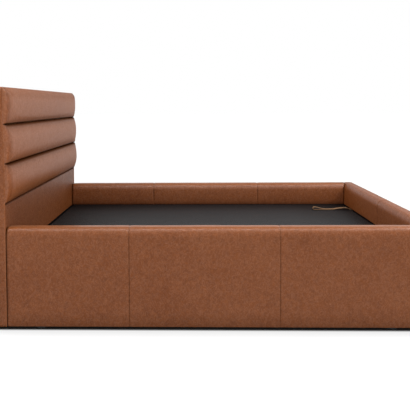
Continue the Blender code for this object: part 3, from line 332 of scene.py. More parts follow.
ZINC = steel("zinc_plated_steel", (0.50, 0.51, 0.53), 0.34, 1.0, 0.2)
CHROME = steel("ground_rod", (0.72, 0.73, 0.74), 0.12, 1.0, 0.05)
PLASTIC = moulded("glide_plastic", (0.016, 0.016, 0.017), 0.52)
NYLON = moulded("white_nylon_bush", (0.72, 0.71, 0.68), 0.40)


def mesh_object(name, points, faces, material, tones=None):
    """An object at the origin with these points and faces.

    Each point's tone says how much it lies in its seams and in painted shade, how much wear and
    painted highlight it has, and how much drier wax and painted light it has.
    """
    mesh = bpy.data.meshes.new(name)
    mesh.from_pydata([tuple(map(float, p)) for p in points], [],
                     [tuple(map(int, f)) for f in faces])
    tones = np.zeros((len(points), 3)) if tones is None else np.asarray(tones)
    for key, column in zip(("seam_and_painted_shade", "wear_and_painted_highlight", "dry_wax_and_painted_light"), tones.T):
        layer = mesh.attributes.new(key, "FLOAT", "POINT")
        layer.data.foreach_set("value", np.ascontiguousarray(column, np.float32))
    builder = bmesh.new()
    builder.from_mesh(mesh)
    bmesh.ops.remove_doubles(builder, verts=builder.verts, dist=0.002 * MM)
    bmesh.ops.recalc_face_normals(builder, faces=builder.faces)
    builder.to_mesh(mesh)
    builder.free()
    mesh.materials.append(material)
    mesh.shade_smooth()
    obj = bpy.data.objects.new(name, mesh)
    bpy.context.scene.collection.objects.link(obj)
    return obj


def lattice(rows, columns, closed=False, start=0):
    """Quads over a grid of points that is stored row by row. A closed one joins its columns."""
    faces = []
    for r in range(rows - 1):
        low, high = start + r * columns, start + (r + 1) * columns
        for c in range(columns if closed else columns - 1):
            after = (c + 1) % columns
            faces.append((low + c, low + after, high + after, high + c))
    return faces


def tube(rings, per_ring):
    """Faces over rings of points, with a flat face at each end."""
    last = (rings - 1) * per_ring
    ends = [tuple(range(per_ring)), tuple(reversed(range(last, last + per_ring)))]
    return lattice(rings, per_ring, closed=True) + ends


def edge_points(rows, columns):
    """The numbers of a grid's outer points, in order round it."""
    first = list(range(columns)) + [r * columns + columns - 1 for r in range(1, rows)]
    last = [(rows - 1) * columns + c for c in range(columns - 2, -1, -1)]
    return first + last + [r * columns for r in range(rows - 2, 0, -1)]


def wall(front, back):
    """Quads between two loops of points."""
    return list(zip(front, front[1:] + front[:1], back[1:] + back[:1], back))


def arc(centre, radius, start, end, steps):
    """Points round part of a circle, between two angles in degrees."""
    angles = np.radians(np.linspace(start, end, steps + 1))
    return [(centre[0] + radius * math.cos(a), centre[1] + radius * math.sin(a))
            for a in angles]


def line(start, end, steps):
    """Points between two points, without the ends."""
    return [(start[0] + (end[0] - start[0]) * i / steps,
             start[1] + (end[1] - start[1]) * i / steps) for i in range(1, steps)]


def lumps(point, size, seed=0.0):
    """Smooth unevenness from -1 to 1 with features of about the given size."""
    return noise.noise(Vector(point) / size + Vector((seed, seed * 1.7, -seed)))


def spaced(low, high, step, fine_at=(), fine_step=2.5 * MM, fine_reach=26 * MM):
    """Places from low to high, closer together round the given places."""
    places = list(np.linspace(low, high, max(2, int(round((high - low) / step)) + 1)))
    places = [p for p in places if all(abs(p - f) > fine_reach for f in fine_at)]
    for f in fine_at:
        places += list(np.arange(f - fine_reach, f + fine_reach + fine_step / 2, fine_step))
    return sorted(p for p in places if low <= p <= high)


def clamp(share):
    """A share kept between 0 and 1."""
    return max(0.0, min(1.0, share))


def ease(share):
    """A share from 0 to 1 that starts and ends softly."""
    share = clamp(share)
    return share * share * (3 - 2 * share)


def fade(distance, reach):
    """One at no distance, and evenly less up to none at the reach."""
    return max(0.0, 1 - distance / reach)


def rounded(distance, reach):
    """A quarter round: none at no distance, one from the reach on."""
    short = fade(distance, reach)
    return math.sqrt(max(0.0, 1 - short * short))


def dent(distance, depth, half_width):
    """A rounded valley of a given depth that has faded out at its half width."""
    share = min(1.0, abs(distance) / half_width)
    return depth * (1 - share) ** 2 * (1 + share)


def padded_ring(inset):
    """The cover seen from its end: a rounded top, small hems, and a slot below for the board."""
    half, top, low = RAIL_THICK / 2 - inset, RAIL_TOP - inset, UNDER + inset
    crown, hem, side_steps = max(30 * MM - inset, 12 * MM), 4 * MM, 34
    drop, slot = SHOULDER_DROP, BOARD_SLOT
    shoulder = [(crown * math.cos(a), drop * math.sin(a))
                for a in np.radians(np.linspace(0, 90, 17))]
    points = [(slot, low)] + line((slot, low), (half - hem, low), 4)
    points += arc((half - hem, low + hem), hem, -90, 0, 6)
    points += line((half, low + hem), (half, top - drop), side_steps)
    points += [(half - crown + y, top - drop + z) for y, z in shoulder]
    points += line((half - crown, top), (crown - half, top), 5)
    points += [(crown - half - y, top - drop + z) for y, z in reversed(shoulder)]
    points += line((-half, top - drop), (-half, low + hem), side_steps)
    points += arc((hem - half, low + hem), hem, 180, 270, 6)
    points += line((hem - half, low), (-slot, low), 4) + [(-slot, low)]
    return points


def outward(outline):
    """The way out of an outline at each point. At the slot's two sides it is straight down."""
    ways = []
    for i in range(len(outline)):
        before, after = outline[i - 1], outline[(i + 1) % len(outline)]
        way = Vector((after[1] - before[1], before[0] - after[0]))
        ways.append(way.normalized() if way.length else Vector((0, 0)))
    ways[0] = ways[-1] = Vector((0, -1))
    return ways


def cover_stations(half, end_radius, board_end, seams):
    """Where the rings of a cover stand: closer at its seams, its ends and its board's ends."""
    stations = spaced(-half + end_radius, half - end_radius, 15 * MM, seams)
    for i in range(7):
        inner = half - end_radius * (1 - math.cos(math.pi / 2 * i / 6))
        stations += [inner, -inner]
    for share in (0.25, 0.4, 0.55, 0.7, 0.85):
        stations += [END_SAG_REACH * share - half, half - END_SAG_REACH * share]
    clear = {round(s, 6) for s in stations if abs(abs(s) - board_end) > 1 * MM}
    return sorted(clear | {-board_end, board_end})


def drawn_point(x, y, z, way, near_seam, sag, seed):
    """Where a cover's point lies across and up: lumpy, puckered at its seams and sagging on top."""
    high = clamp((z - 0.25) / 0.24)
    rise = clamp((z - UNDER - 20 * MM) / (60 * MM))
    push = 0.8 * MM * lumps((x, y * 2, z), 0.17, seed) + 0.3 * MM * lumps((x, y, z), 0.05, seed)
    pucker = 0.55 * MM * lumps((x * 0.25, y, z), 0.014, seed + 3)
    pucker *= math.exp(-((near_seam / SEAM_REACH) ** 2))
    draw = dent(near_seam, SEAM_DEPTH, SEAM_REACH) + dent(near_seam, STITCH_DEPTH, STITCH_REACH)
    push = push * rise + (pucker - draw * (0.35 + 0.65 * rise))
    return y + way.x * push, max(z + way.y * push - sag * high**3, UNDER)


def butt_fill(z, depth):
    """How far a rail's rounded top is drawn out at its foot end, to meet the footboard."""
    share = clamp((z - RAIL_TOP + SHOULDER_DROP) / SHOULDER_DROP)
    return 22 * MM * (1 - math.sqrt(max(0.0, 1 - share * share))) * fade(depth, 20 * MM)


def cover_tone(x, y, z, near_seam, depth, half, inward, is_rail):
    """The tone of a cover's point: dark in its seams, painted shade at its ends, low down and low
    beside the deck, and wear with a painted highlight on its crown.
    """
    deckward = abs(inward) * (y * inward > 0)
    line_dark = 0.30 if z > RAIL_TOP - 40 * MM else 0.55 + 0.12 * deckward
    line_dark *= clamp(1.5 - near_seam / ((1.9 + 1.5 * deckward) * MM))
    # Painted shade: darker low down towards the floor, at the ends where the covers meet the
    # boards, and on the deck side just above the deck.
    painted_shade_low_down = 0.30 * fade(z - UNDER, 75 * MM)
    painted_shade_at_ends = 0.85 * fade(depth, 14 * MM) ** (1.3 - 0.6 * deckward * (x < 0))
    above = max(0.0, z - DECK_TOP)
    painted_shade_by_deck = 0.40 * fade(above, 120 * MM) + 0.50 * math.exp(-above / (14 * MM))
    # Painted highlight with wear along the crown of the rails, stronger towards the head end; the
    # footboard gets a little.
    wear_and_painted_highlight_share = 0.56 + 0.1 * max(0.0, -x / half - 0.35) / 0.65 if is_rail else 0.1
    wear_and_painted_highlight = clamp((z - RAIL_TOP + 26 * MM) / (20 * MM)) * wear_and_painted_highlight_share
    return max(line_dark, painted_shade_low_down, painted_shade_at_ends, painted_shade_by_deck * deckward), wear_and_painted_highlight, -0.7 * deckward


def padded_cover(name, node, place, length, end_radius, board_gap, seams, sags, inward, seed):
    """Leather over foam: a loft along the piece, with soft ends and a slot for its board.

    The sags are how far its top drops at its two ends, and inward is the side of the deck.
    """
    half = length / 2
    board_end = half - board_gap + 0.3 * MM
    is_rail = sags[1] == 0
    points, tones, rings = [], [], 0
    for x in cover_stations(half, end_radius, board_end, seams):
        depth = half - abs(x)
        inset = 0.0
        if depth < end_radius:
            inset = end_radius - math.sqrt(max(0.0, end_radius**2 - (end_radius - depth) ** 2))
        outline = padded_ring(inset)
        ways = outward(outline)
        sag = sags[int(x > 0)] * fade(depth, END_SAG_REACH) ** 2
        near_seam = min(abs(x - s) for s in seams)
        if abs(abs(x) - board_end) < 1e-9:
            slots = (False, True) if x < 0 else (True, False)
        else:
            slots = (abs(x) < board_end,)
        for has_slot in slots:
            for (y, z), way in zip(outline, ways):
                across, up = drawn_point(x, y, z, way, near_seam, sag, seed)
                fill = butt_fill(z, depth) if is_rail and x > 0 else 0.0
                points.append((x + fill, across, up))
                tones.append(cover_tone(x, y, z, near_seam, depth, half, inward, is_rail))
            slot_top = RAIL_TOP - 29.7 * MM if has_slot else UNDER + inset
            points += [(x, -BOARD_SLOT, slot_top), (x, BOARD_SLOT, slot_top)]
            tones += [(0.0, 0.0, 0.0)] * 2
            rings += 1
    per_ring = len(points) // rings
    faces = lattice(rings, per_ring, closed=True)
    for start in (0, (rings - 1) * per_ring):
        middle = len(points)
        points.append(tuple(np.mean(points[start:start + per_ring], axis=0)))
        tones.append((0.0, 0.0, 0.0))
        faces += [(start + i, start + (i + 1) % per_ring, middle) for i in range(per_ring)]
    obj = mesh_object(name, [place @ Vector(p) for p in points], faces, TAN, tones)
    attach(obj, "bed_box")
    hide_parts(node)


def rails_and_footboard():
    """The covers of the two rails, and of the footboard, turned to lie across the bed."""
    across = HALF_INNER + RAIL_THICK / 2
    half = INNER_LENGTH / 2
    for name, node, side, seams, seed in (
        ("far_rail_leather", "rail_left_cover", 1.0, FAR_RAIL_SEAMS, 1.0),
        ("near_rail_leather", "rail_right_cover", -1.0, NEAR_RAIL_SEAMS, 2.0),
    ):
        padded_cover(name, node, Matrix.Translation((MIDDLE_X, side * across, 0)),
                     length=INNER_LENGTH - 0.6 * MM, end_radius=7 * MM, board_gap=10 * MM,
                     seams=[s - half for s in seams], sags=(2.5 * MM, 0), inward=-side, seed=seed)
    turn = Matrix.Translation((FOOT_X + RAIL_THICK / 2, 0, 0))
    turn = turn @ Matrix.Rotation(math.pi / 2, 4, "Z")
    padded_cover("footboard_leather", "footboard_cover", turn,
                 length=2 * HALF_OUTER, end_radius=18 * MM, board_gap=30 * MM,
                 seams=FOOTBOARD_SEAMS, sags=(1.5 * MM, 1.5 * MM), inward=0.22, seed=3.0)


def skin_front(z, is_side):
    """How far forward the border reaches at a height. Low down its sides pass the pads' ends."""
    if not is_side:
        return BORDER_BASE_X
    low_lap = 8.0 * MM * ease((1.11 - z) / 0.26)
    seam_lap = 2.5 * MM * ease(fade(abs(z - 0.72), 0.16))
    return BORDER_BASE_X + low_lap + seam_lap


def border_path(radius):
    """Up one side of the headboard, over its top and down the other, with the way out."""
    path = [((HALF_OUTER, UNDER), (1, 0))]
    path += [((HALF_OUTER, z), (1, 0))
             for z in np.arange(UNDER + 12 * MM, HEAD_TOP - radius - 5 * MM, 14 * MM)]
    for angle in np.linspace(0, 90, 11):
        way = (math.cos(math.radians(angle)), math.sin(math.radians(angle)))
        corner = (HALF_OUTER - radius + radius * way[0], HEAD_TOP - radius + radius * way[1])
        path.append((corner, way))
    path += [((y, HEAD_TOP), (0, 1)) for y in np.arange(HALF_OUTER - radius - 10 * MM, 0, -14 * MM)]
    path += [((0.0, HEAD_TOP), (0, 1))]
    return path + [((-y, z), (-wy, wz)) for (y, z), (wy, wz) in reversed(path[:-1])]


def border_section(front, lap, edge, thick):
    """The border cut across: rolled at its back and front. Where it laps, its front is thin."""
    roll = edge + (0.6 * MM - edge) * lap
    straight = front - BACK_X - edge - roll
    section = [(BACK_X, -thick), (BACK_X, -edge)]
    section += arc((BACK_X + edge, -edge), edge, 180, 90, 5)[1:]
    section += [(BACK_X + edge + straight * i / 14, 0.0) for i in range(1, 14)]
    section += arc((front - roll, -roll), roll, 90, 0, 5)
    section += [(front, -(6 + (1.2 - 6) * lap) * MM),
                (front + (BORDER_BASE_X - front) * lap, -(9 + (1.2 - 9) * lap) * MM),
                (BORDER_BASE_X, -thick)]
    return section


def headboard_border():
    """The leather band round the sides and the top. Its sides lap over the ends of the pads."""
    edge, thick = 4.5 * MM, 12 * MM
    path = border_path(radius=22 * MM)
    points, tones = [], []
    for (y, z), way in path:
        front = skin_front(z, abs(way[0]) > 0.999)
        lap = min(1.0, (front - BORDER_BASE_X) / (6 * MM))
        section = border_section(front, lap, edge, thick)
        for x, out in section:
            if out > -edge * 0.5:
                share = (x - BACK_X) / (front - BACK_X)
                push = -1.1 * MM * (2 * share - 1) ** 2 * (share < 0.5)
                push += 0.6 * MM * lumps((x, y, z), 0.11, 5) + 0.3 * MM * lumps((x, y, z), 0.03, 6)
                out += min(0.0, push - 0.4 * MM) * min(1.0, (front - x) / (18 * MM))
            points.append((x, y + way[0] * out, max(z + way[1] * out, UNDER)))
            # A faint dark line at the front edge, painted shade darker towards the bottom, and a
            # painted highlight along the front edge where the sides lap over the pads.
            dark = max(0.05 * fade(front - x, 1.5 * MM), 0.10 * fade(z, 0.55))
            tones.append((dark, 1.2 * lap * fade(abs(front - x - 3 * MM), 5 * MM), 0.0))
    faces = tube(len(path), len(section))
    band = mesh_object("headboard_border_leather", points, faces, TAN, tones)
    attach(band, "bed_box")
    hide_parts("headboard_border")


def lower_pad():
    """The flat panel below the channels: rolled ends, its top tucked under the lowest channel."""
    half, low, high = PAD_HALF, UNDER, LOW_SEAM - 0.3 * MM
    depth = FACE_X - 0.3 * MM - PAD_BACK_X
    ends = [half - 16 * MM * (1 - math.cos(math.pi / 2 * i / 9)) for i in range(9)]
    columns = spaced(-half + 20 * MM, half - 20 * MM, 16 * MM)
    columns = sorted([-e for e in ends] + columns + ends)
    rows = [low, low + 1 * MM, low + 2 * MM]
    rows += list(np.arange(low + 12 * MM, high - 22 * MM, 14 * MM))
    rows += [high - 20 * MM * s for s in (1, 0.7, 0.45, 0.25, 0.1, 0)]
    points, tones = [], []
    for z in rows:
        for y in columns:
            end = rounded(half - abs(y), 15 * MM)
            tuck = rounded(high - z, 9 * MM)
            hem = rounded(z - low, 3 * MM)
            height = depth * (0.25 + 0.75 * end) * (0.45 + 0.55 * tuck) * (0.5 + 0.5 * hem)
            uneven = 0.55 * MM * (1 + lumps((y, z, 0), 0.2, 8))
            uneven += 0.25 * MM * (1 + lumps((y, z, 0), 0.06, 9))
            points.append((PAD_BACK_X + max(height - uneven * end, 1 * MM), y, z))
            # Painted shade over the whole panel, darkest at its top where it tucks under the lowest
            # channel.
            tones.append((max(0.32, min(0.85, 1.6 - (high - z) / (8 * MM))), 0.0, 0.0))
    front = edge_points(len(rows), len(columns))
    back = list(range(len(points), len(points) + len(front)))
    points += [(PAD_BACK_X, points[i][1], points[i][2]) for i in front]
    # The hidden back edge gets painted shade too.
    tones += [(0.5, 0.0, 0.0)] * len(front)
    faces = lattice(len(rows), len(columns)) + wall(front, back) + [tuple(back)]
    pad = mesh_object("headboard_panel_leather", points, faces, TAN, tones)
    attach(pad, "bed_box")
    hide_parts("headboard_lower_pad")


def inflate(obj, held, pressure, cap):
    """Swell a stuffed piece between its held seams by a short cloth simulation, up to a cap."""
    scene, mesh = bpy.context.scene, obj.data
    start = np.zeros(len(mesh.vertices) * 3)
    mesh.vertices.foreach_get("co", start)
    group = obj.vertex_groups.new(name="held")
    group.add([index for index, fixed in enumerate(held) if fixed], 1.0, "REPLACE")
    cloth = obj.modifiers.new("stuffing", "CLOTH")
    settings = cloth.settings
    settings.quality = 5
    settings.mass = 0.35
    settings.tension_stiffness = settings.compression_stiffness = 40
    settings.shear_stiffness = 20
    settings.bending_stiffness = 4
    settings.vertex_group_mass = "held"
    settings.use_pressure = True
    settings.uniform_pressure_force = pressure
    settings.effector_weights.gravity = 0
    cloth.collision_settings.use_collision = False
    scene.frame_start, scene.frame_end = 1, 20
    for number in range(scene.frame_start, scene.frame_end + 1):
        scene.frame_set(number)
    swelled = obj.evaluated_get(bpy.context.evaluated_depsgraph_get()).to_mesh()
    end = np.zeros(len(swelled.vertices) * 3)
    swelled.vertices.foreach_get("co", end)
    obj.modifiers.remove(cloth)
    scene.frame_set(1)
    obj.vertex_groups.clear()
    moved = (end - start).reshape(-1, 3)
    far = np.linalg.norm(moved, axis=1, keepdims=True)
    moved *= np.minimum(1.0, cap / np.maximum(far, 1e-9))
    mesh.vertices.foreach_set("co", start + moved.ravel())
    mesh.update()


def channel_tone(z, low, high, gap, room, over_top):
    """The tone of a channel's point: dark in the seams with painted shade in them, painted shade
    below and near the ends, a painted highlight on the rim at the ends, and painted light with less
    wax above.
    """
    # A dark seam line with painted shade in its crease.
    crack = clamp(1.45 - gap / (5.4 * MM)) * rounded(room, 12 * MM)
    # Painted shade on the underside of the channel, above its lower seam.
    below = 0.36 * fade(z - low, 34 * MM) ** 1.2 * rounded(room, 30 * MM)
    shoulder = fade(abs(room - 34 * MM), 30 * MM)
    # Painted shade: all over the top channel and more some way below its top; under the seam above
    # on the others; and a little in from the ends.
    if over_top:
        upper = fade(abs(high - z - 34 * MM), 32 * MM)
        shade = 0.06 + 0.12 * upper + 0.15 * shoulder
    else:
        upper = fade(high - z, 60 * MM)
        shade = math.exp((z - high) / (14 * MM)) + 0.2 * math.exp((z - high) / (45 * MM))
        shade = min(0.9, max(shade * rounded(room, 30 * MM), 0.17 * shoulder))
    # A painted highlight on the rim at the ends, and painted light with less wax towards the top of
    # each channel.
    rim = clamp(2.0 - room / (4 * MM))
    dry_wax_and_painted_light = (0.5 + 0.5 * upper) * ease((room - 14 * MM) / (30 * MM)) - rim
    return max(crack, below, shade), 0.5 * rim, dry_wax_and_painted_light


def channel(name, node, low, high, crown, valleys, over_top, seed):
    """A stuffed channel: a front crowned between its seams and swelled, over a flat back."""
    half = PAD_HALF
    ends = [half - 46 * MM * (1 - math.cos(math.pi / 2 * i / 16)) for i in range(16)]
    columns = sorted([-e for e in ends] + spaced(-half + 48 * MM, half - 48 * MM, 8 * MM) + ends)
    shares = (1 - np.cos(np.pi * np.linspace(0, 1, 33))) / 2
    points, held, tones = [], [], []
    for share in shares:
        z = low + (high - low) * share
        bulge = 1 - abs(2 * share - 1) ** (4 if over_top and share > 0.5 else 2.2)
        valley = valleys[0] + (valleys[1] - valleys[0]) * share
        gap = z - low if over_top else min(z - low, high - z)
        for y in columns:
            room = half - abs(y)
            depth = 8 * MM * rounded(room, 5 * MM) + valley * rounded(room, 15 * MM)
            depth += (crown - 1.0 * MM - valley) * bulge * rounded(room, 44 * MM)
            if over_top:
                depth *= rounded(high - z, 30 * MM)
            crease = 0.5 * MM * lumps((y, z, 0), 0.12, seed)
            crease += 0.35 * MM * lumps((y * 0.4, z, 0), 0.03, seed + 2)
            depth += crease * bulge * rounded(room, 40 * MM)
            depth *= 0.10 + 0.90 * rounded(gap, 6 * MM)
            points.append((PAD_BACK_X + max(depth, 2 * MM), y, z))
            held.append(gap < 2 * MM or z == high or room < 4 * MM)
            tones.append(channel_tone(z, low, high, gap, room, over_top))
    front = mesh_object(name, points, lattice(len(shares), len(columns)), TAN, tones)
    if front.data.polygons[0].normal.x < 0:
        front.data.flip_normals()
    if len(front.data.vertices) == len(points):
        inflate(front, held, pressure=9.0, cap=4 * MM)
    builder = bmesh.new()
    builder.from_mesh(front.data)
    rim = [e for e in builder.edges if len(e.link_faces) == 1]
    made = bmesh.ops.extrude_edge_only(builder, edges=rim)["geom"]
    for vertex in (v for v in made if isinstance(v, bmesh.types.BMVert)):
        vertex.co.x = PAD_BACK_X
    bmesh.ops.holes_fill(builder, edges=[e for e in builder.edges if len(e.link_faces) == 1])
    bmesh.ops.recalc_face_normals(builder, faces=builder.faces)
    builder.to_mesh(front.data)
    builder.free()
    front.data.shade_smooth()
    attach(front, "bed_box")
    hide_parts(node)


def headboard():
    """The border, the flat panel and the three channels."""
    headboard_border()
    lower_pad()
    gap, top = 0.3 * MM, HEAD_TOP - 1.8 * MM
    foot, lower, upper = 3 * MM, 12 * MM, 6 * MM
    channel("lower_channel_leather", "channel_pad_bottom", LOW_SEAM + gap, MIDDLE_SEAM - gap,
            29 * MM, (foot, lower), False, 11.0)
    channel("middle_channel_leather", "channel_pad_middle", MIDDLE_SEAM + gap, HIGH_SEAM - gap,
            27 * MM, (lower, upper), False, 12.0)
    channel("upper_channel_leather", "channel_pad_top", HIGH_SEAM + gap, top,
            22 * MM, (upper, upper), True, 13.0)


def back_lining():
    """Black lining on the back of the headboard, drawn a little slack between its edges."""
    half, low, high = LINING_HALF, LINING_LOW, LINING_HIGH
    ys, zs = np.linspace(-half, half, 90), np.linspace(low, high, 64)
    points = []
    for layer in (0.0, 0.8 * MM):
        for z in zs:
            for y in ys:
                slack = 1 - math.exp(-min(half - abs(y), z - low, high - z) / 0.05)
                dip = 0.35 * MM + 0.25 * MM * lumps((y, z, 0), 0.16, 21)
                dip += 0.15 * MM * lumps((y, z * 3, 0), 0.09, 22)
                points.append((BACK_X + 0.4 * MM + dip * slack + layer, y, z))
    rows, columns = len(zs), len(ys)
    count = rows * columns
    outer = edge_points(rows, columns)
    faces = [tuple(reversed(f)) for f in lattice(rows, columns)]
    faces += lattice(rows, columns, start=count) + wall(outer, [count + i for i in outer])
    lining = mesh_object("headboard_back_lining", points, faces, LINING)
    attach(lining, "bed_box")
    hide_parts("headboard_back_cover")


def lining_staples():
    """Zinc staples round the edge of the lining, each a small bevelled bar."""
    places = []
    for y in np.arange(-0.80, 0.81, 0.10):
        places += [(y, LINING_HIGH - STAPLE_INSET, 0), (y, LINING_LOW + STAPLE_INSET, 0)]
    for z in np.arange(0.12, 1.10, 0.10):
        places += [(LINING_HALF - STAPLE_INSET, z, 1), (STAPLE_INSET - LINING_HALF, z, 1)]
    bpy.ops.object.select_all(action="DESELECT")
    bpy.ops.mesh.primitive_cube_add(size=1, location=(0, 0, 0), scale=STAPLE)
    first = bpy.context.object
    bpy.ops.object.transform_apply(location=False, rotation=False, scale=True)
    bevel = first.modifiers.new("rounded", "BEVEL")
    bevel.width, bevel.segments = 0.2 * MM, 1
    bpy.ops.object.modifier_apply(modifier=bevel.name)
    copies = []
    for y, z, upright in places:
        copy = bpy.data.objects.new("staple", first.data.copy())
        turned = Matrix.Rotation(math.pi / 2 * upright, 4, "X")
        copy.data.transform(Matrix.Translation((BACK_X + STAPLE[0] / 2, y, z)) @ turned)
        bpy.context.scene.collection.objects.link(copy)
        copies.append(copy)
    bpy.data.objects.remove(first)
    bpy.ops.object.select_all(action="DESELECT")
    for copy in copies:
        copy.select_set(True)
    bpy.context.view_layer.objects.active = copies[0]
    bpy.ops.object.join()
    obj = bpy.context.object
    obj.name = obj.data.name = "lining_staples"
    obj.data.materials.append(ZINC)
    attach(obj, "bed_box")


def deck_cloth():
    """Dark fabric drawn over the deck boards and down their edges, dipped over their joint."""
    radius, hem, thick = 4 * MM, 0.3229, 1.2 * MM
    mid_x, half_x = (DECK_LOW_X + DECK_HIGH_X) / 2, (DECK_HIGH_X - DECK_LOW_X) / 2
    half_y = DECK_HALF
    turn = radius * math.pi / 2
    drop = DECK_TOP - radius - hem

    def along(half, step):
        """Places along the cloth from one lower edge over the top to the other."""
        flat = half - radius
        over = [turn * s for s in (0.25, 0.5, 0.75, 1.0)]
        over += [turn + drop * s for s in (0.35, 0.7, 1.0)]
        top = list(np.linspace(-flat, flat, int(2 * half / step)))
        return [-flat - o for o in reversed(over)] + top + [flat + o for o in over]

    def wrap(value, half):
        """The place across, the drop below the top and the turn of the cloth at a place on it."""
        over = abs(value) - (half - radius)
        sign = math.copysign(1, value)
        if over <= 0:
            return value, 0.0, 0.0
        if over <= turn:
            angle = over / radius
            across = half - radius + radius * math.sin(angle)
            return sign * across, radius * (1 - math.cos(angle)), angle
        return sign * half, radius + over - turn, math.pi / 2

    us = along(half_x, 22 * MM)
    joint = {s * MM for s in (-4, -2, -1, 0, 1, 2, 4)}
    vs = sorted(set(along(half_y, 20 * MM)) | joint)
    points = []
    for layer in (0.0, thick):
        for u in us:
            x, fall_x, angle_x = wrap(u, half_x)
            for v in vs:
                y, fall_y, angle_y = wrap(v, half_y)
                fall, dip = max(fall_x, fall_y), 0.0
                if fall == 0.0:
                    dip = 0.18 * MM * (1 + lumps((x, y, 0), 0.22, 31))
                    dip += dent(y, 0.35 * MM, 2.5 * MM)
                if fall_x and fall_y:
                    blend = math.hypot(fall_x, fall_y) - fall
                    x -= math.copysign(min(1.6 * MM, blend * 0.3), x)
                    y -= math.copysign(min(1.6 * MM, blend * 0.3), y)
                way = Vector((math.copysign(math.sin(angle_x), x),
                              math.copysign(math.sin(angle_y), y),
                              max(0.0, math.cos(max(angle_x, angle_y)))))
                point = Vector((mid_x + x, y, DECK_TOP - fall - dip)) - way.normalized() * layer
                point.z = max(point.z, hem)
                points.append(point)
    rows, columns = len(us), len(vs)
    count = rows * columns
    outer = edge_points(rows, columns)
    faces = lattice(rows, columns)
    faces += [tuple(reversed(f)) for f in lattice(rows, columns, start=count)]
    faces += [(a, d, c, b) for a, b, c, d in wall(outer, [count + i for i in outer])]
    cloth = mesh_object("deck_fabric", points, faces, DECK_CLOTH)
    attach(cloth, "deck")
    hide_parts("deck_cover")


def strap_path():
    """The strap's middle line from the side: up the deck's end, along it, folded and back."""
    half, corner = STRAP_THICK / 2, 4 * MM
    clear, lift = 0.6 * MM + half, STRAP_THICK + 0.5 * MM
    bend = (DECK_HIGH_X - corner, DECK_TOP - corner)
    near, far = corner + clear, corner + clear + lift
    fold = 8 * MM + half
    fold_x = DECK_HIGH_X - STRAP_REACH + fold
    rest = DECK_TOP + clear
    lower = [(bend[0] + near, DECK_TOP - 13 * MM)] + arc(bend, near, 0, 90, 8)
    upper = [(bend[0] + far, DECK_TOP - 13 * MM)] + arc(bend, far, 0, 90, 8)
    for i in range(1, 60):
        share = i / 60
        x = bend[0] + (fold_x - bend[0]) * share
        bulge = 9.5 * MM * ease(share / 0.10) * (1 - ease((share - 0.22) / 0.32))
        opened = ease((share - 0.7) / 0.3)
        lower.append((x, rest + bulge))
        upper.append((x, rest + bulge + lift + (2 * fold - lift) * opened))
    return lower + arc((fold_x, rest + fold), fold, 270, 90, 16) + list(reversed(upper))


def pull_strap():
    """The leather pull: two layers from the clamp, open at its free end, with burnished edges."""
    path = strap_path()
    quarter = [(-0.5, 0.0), (-0.49, -0.38), (-0.46, -0.5), (-0.25, -0.5), (0, -0.5)]
    under = quarter + [(-across, through) for across, through in reversed(quarter[:-1])]
    section = under + [(-across, -through) for across, through in under[1:-1]]
    points, tones = [], []
    for i, (x, z) in enumerate(path):
        before, after = path[max(0, i - 1)], path[min(len(path) - 1, i + 1)]
        ahead = Vector((after[0] - before[0], after[1] - before[1])).normalized()
        normal = Vector((-ahead.y, ahead.x))
        for across, through in section:
            place = normal * (through * STRAP_THICK)
            points.append((x + place.x, STRAP_SIDE + across * STRAP_WIDE, z + place.y))
            tones.append((0.5 if abs(across) > 0.48 else 0.0,
                          1.0 if abs(across) > 0.45 else 0.1, 0.0))
    faces = tube(len(path), len(section))
    strap = mesh_object("pull_strap_leather", points, faces, STRAP_TAN, tones)
    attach(strap, "deck")
    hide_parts("pull_strap")


def dress(material, *names):
    """Give each of the named pieces one finish all over."""
    for name in names:
        mesh = NODES[name].data
        mesh.materials.clear()
        mesh.materials.append(material)
        for polygon in mesh.polygons:
            polygon.material_index = 0


def dress_nodes():
    """The finish of each piece that keeps its shape."""
    dress(PINE_X, "centre_bearer", "deck_frame")
    dress(PINE_Y, "footboard_core")
    dress(PINE_Z, "headboard_frame")
    dress(STAINED_Y, "foot_ledger")
    dress(PLY, "headboard_face_board", "deck_board_left", "deck_board_right")
    dress(BOARD_CLOTH, "base_board_head", "base_board_foot")
    dress(PLASTIC, "glide_bearer")
    dress(BLACK_STEEL, "strap_clamp")
    for side in ("left", "right"):
        dress(PINE_X, f"rail_{side}_core", f"base_batten_{side}")
        dress(STAINED_X, f"side_ledger_{side}")
        dress(BLACK_STEEL, f"corner_bracket_head_{side}", f"corner_bracket_foot_{side}",
              f"hinge_plate_{side}", f"lift_arm_{side}", f"strut_cylinder_{side}")
        dress(ZINC, f"hinge_pin_{side}", f"strut_lower_eye_{side}", f"strut_upper_eye_{side}")
        dress(CHROME, f"strut_rod_{side}")
        dress(NYLON, f"hinge_bush_{side}")
        dress(PLASTIC, f"deck_buffer_{side}", f"glide_rail_head_{side}", f"glide_rail_foot_{side}",
              f"glide_headboard_{side}", f"glide_footboard_{side}")


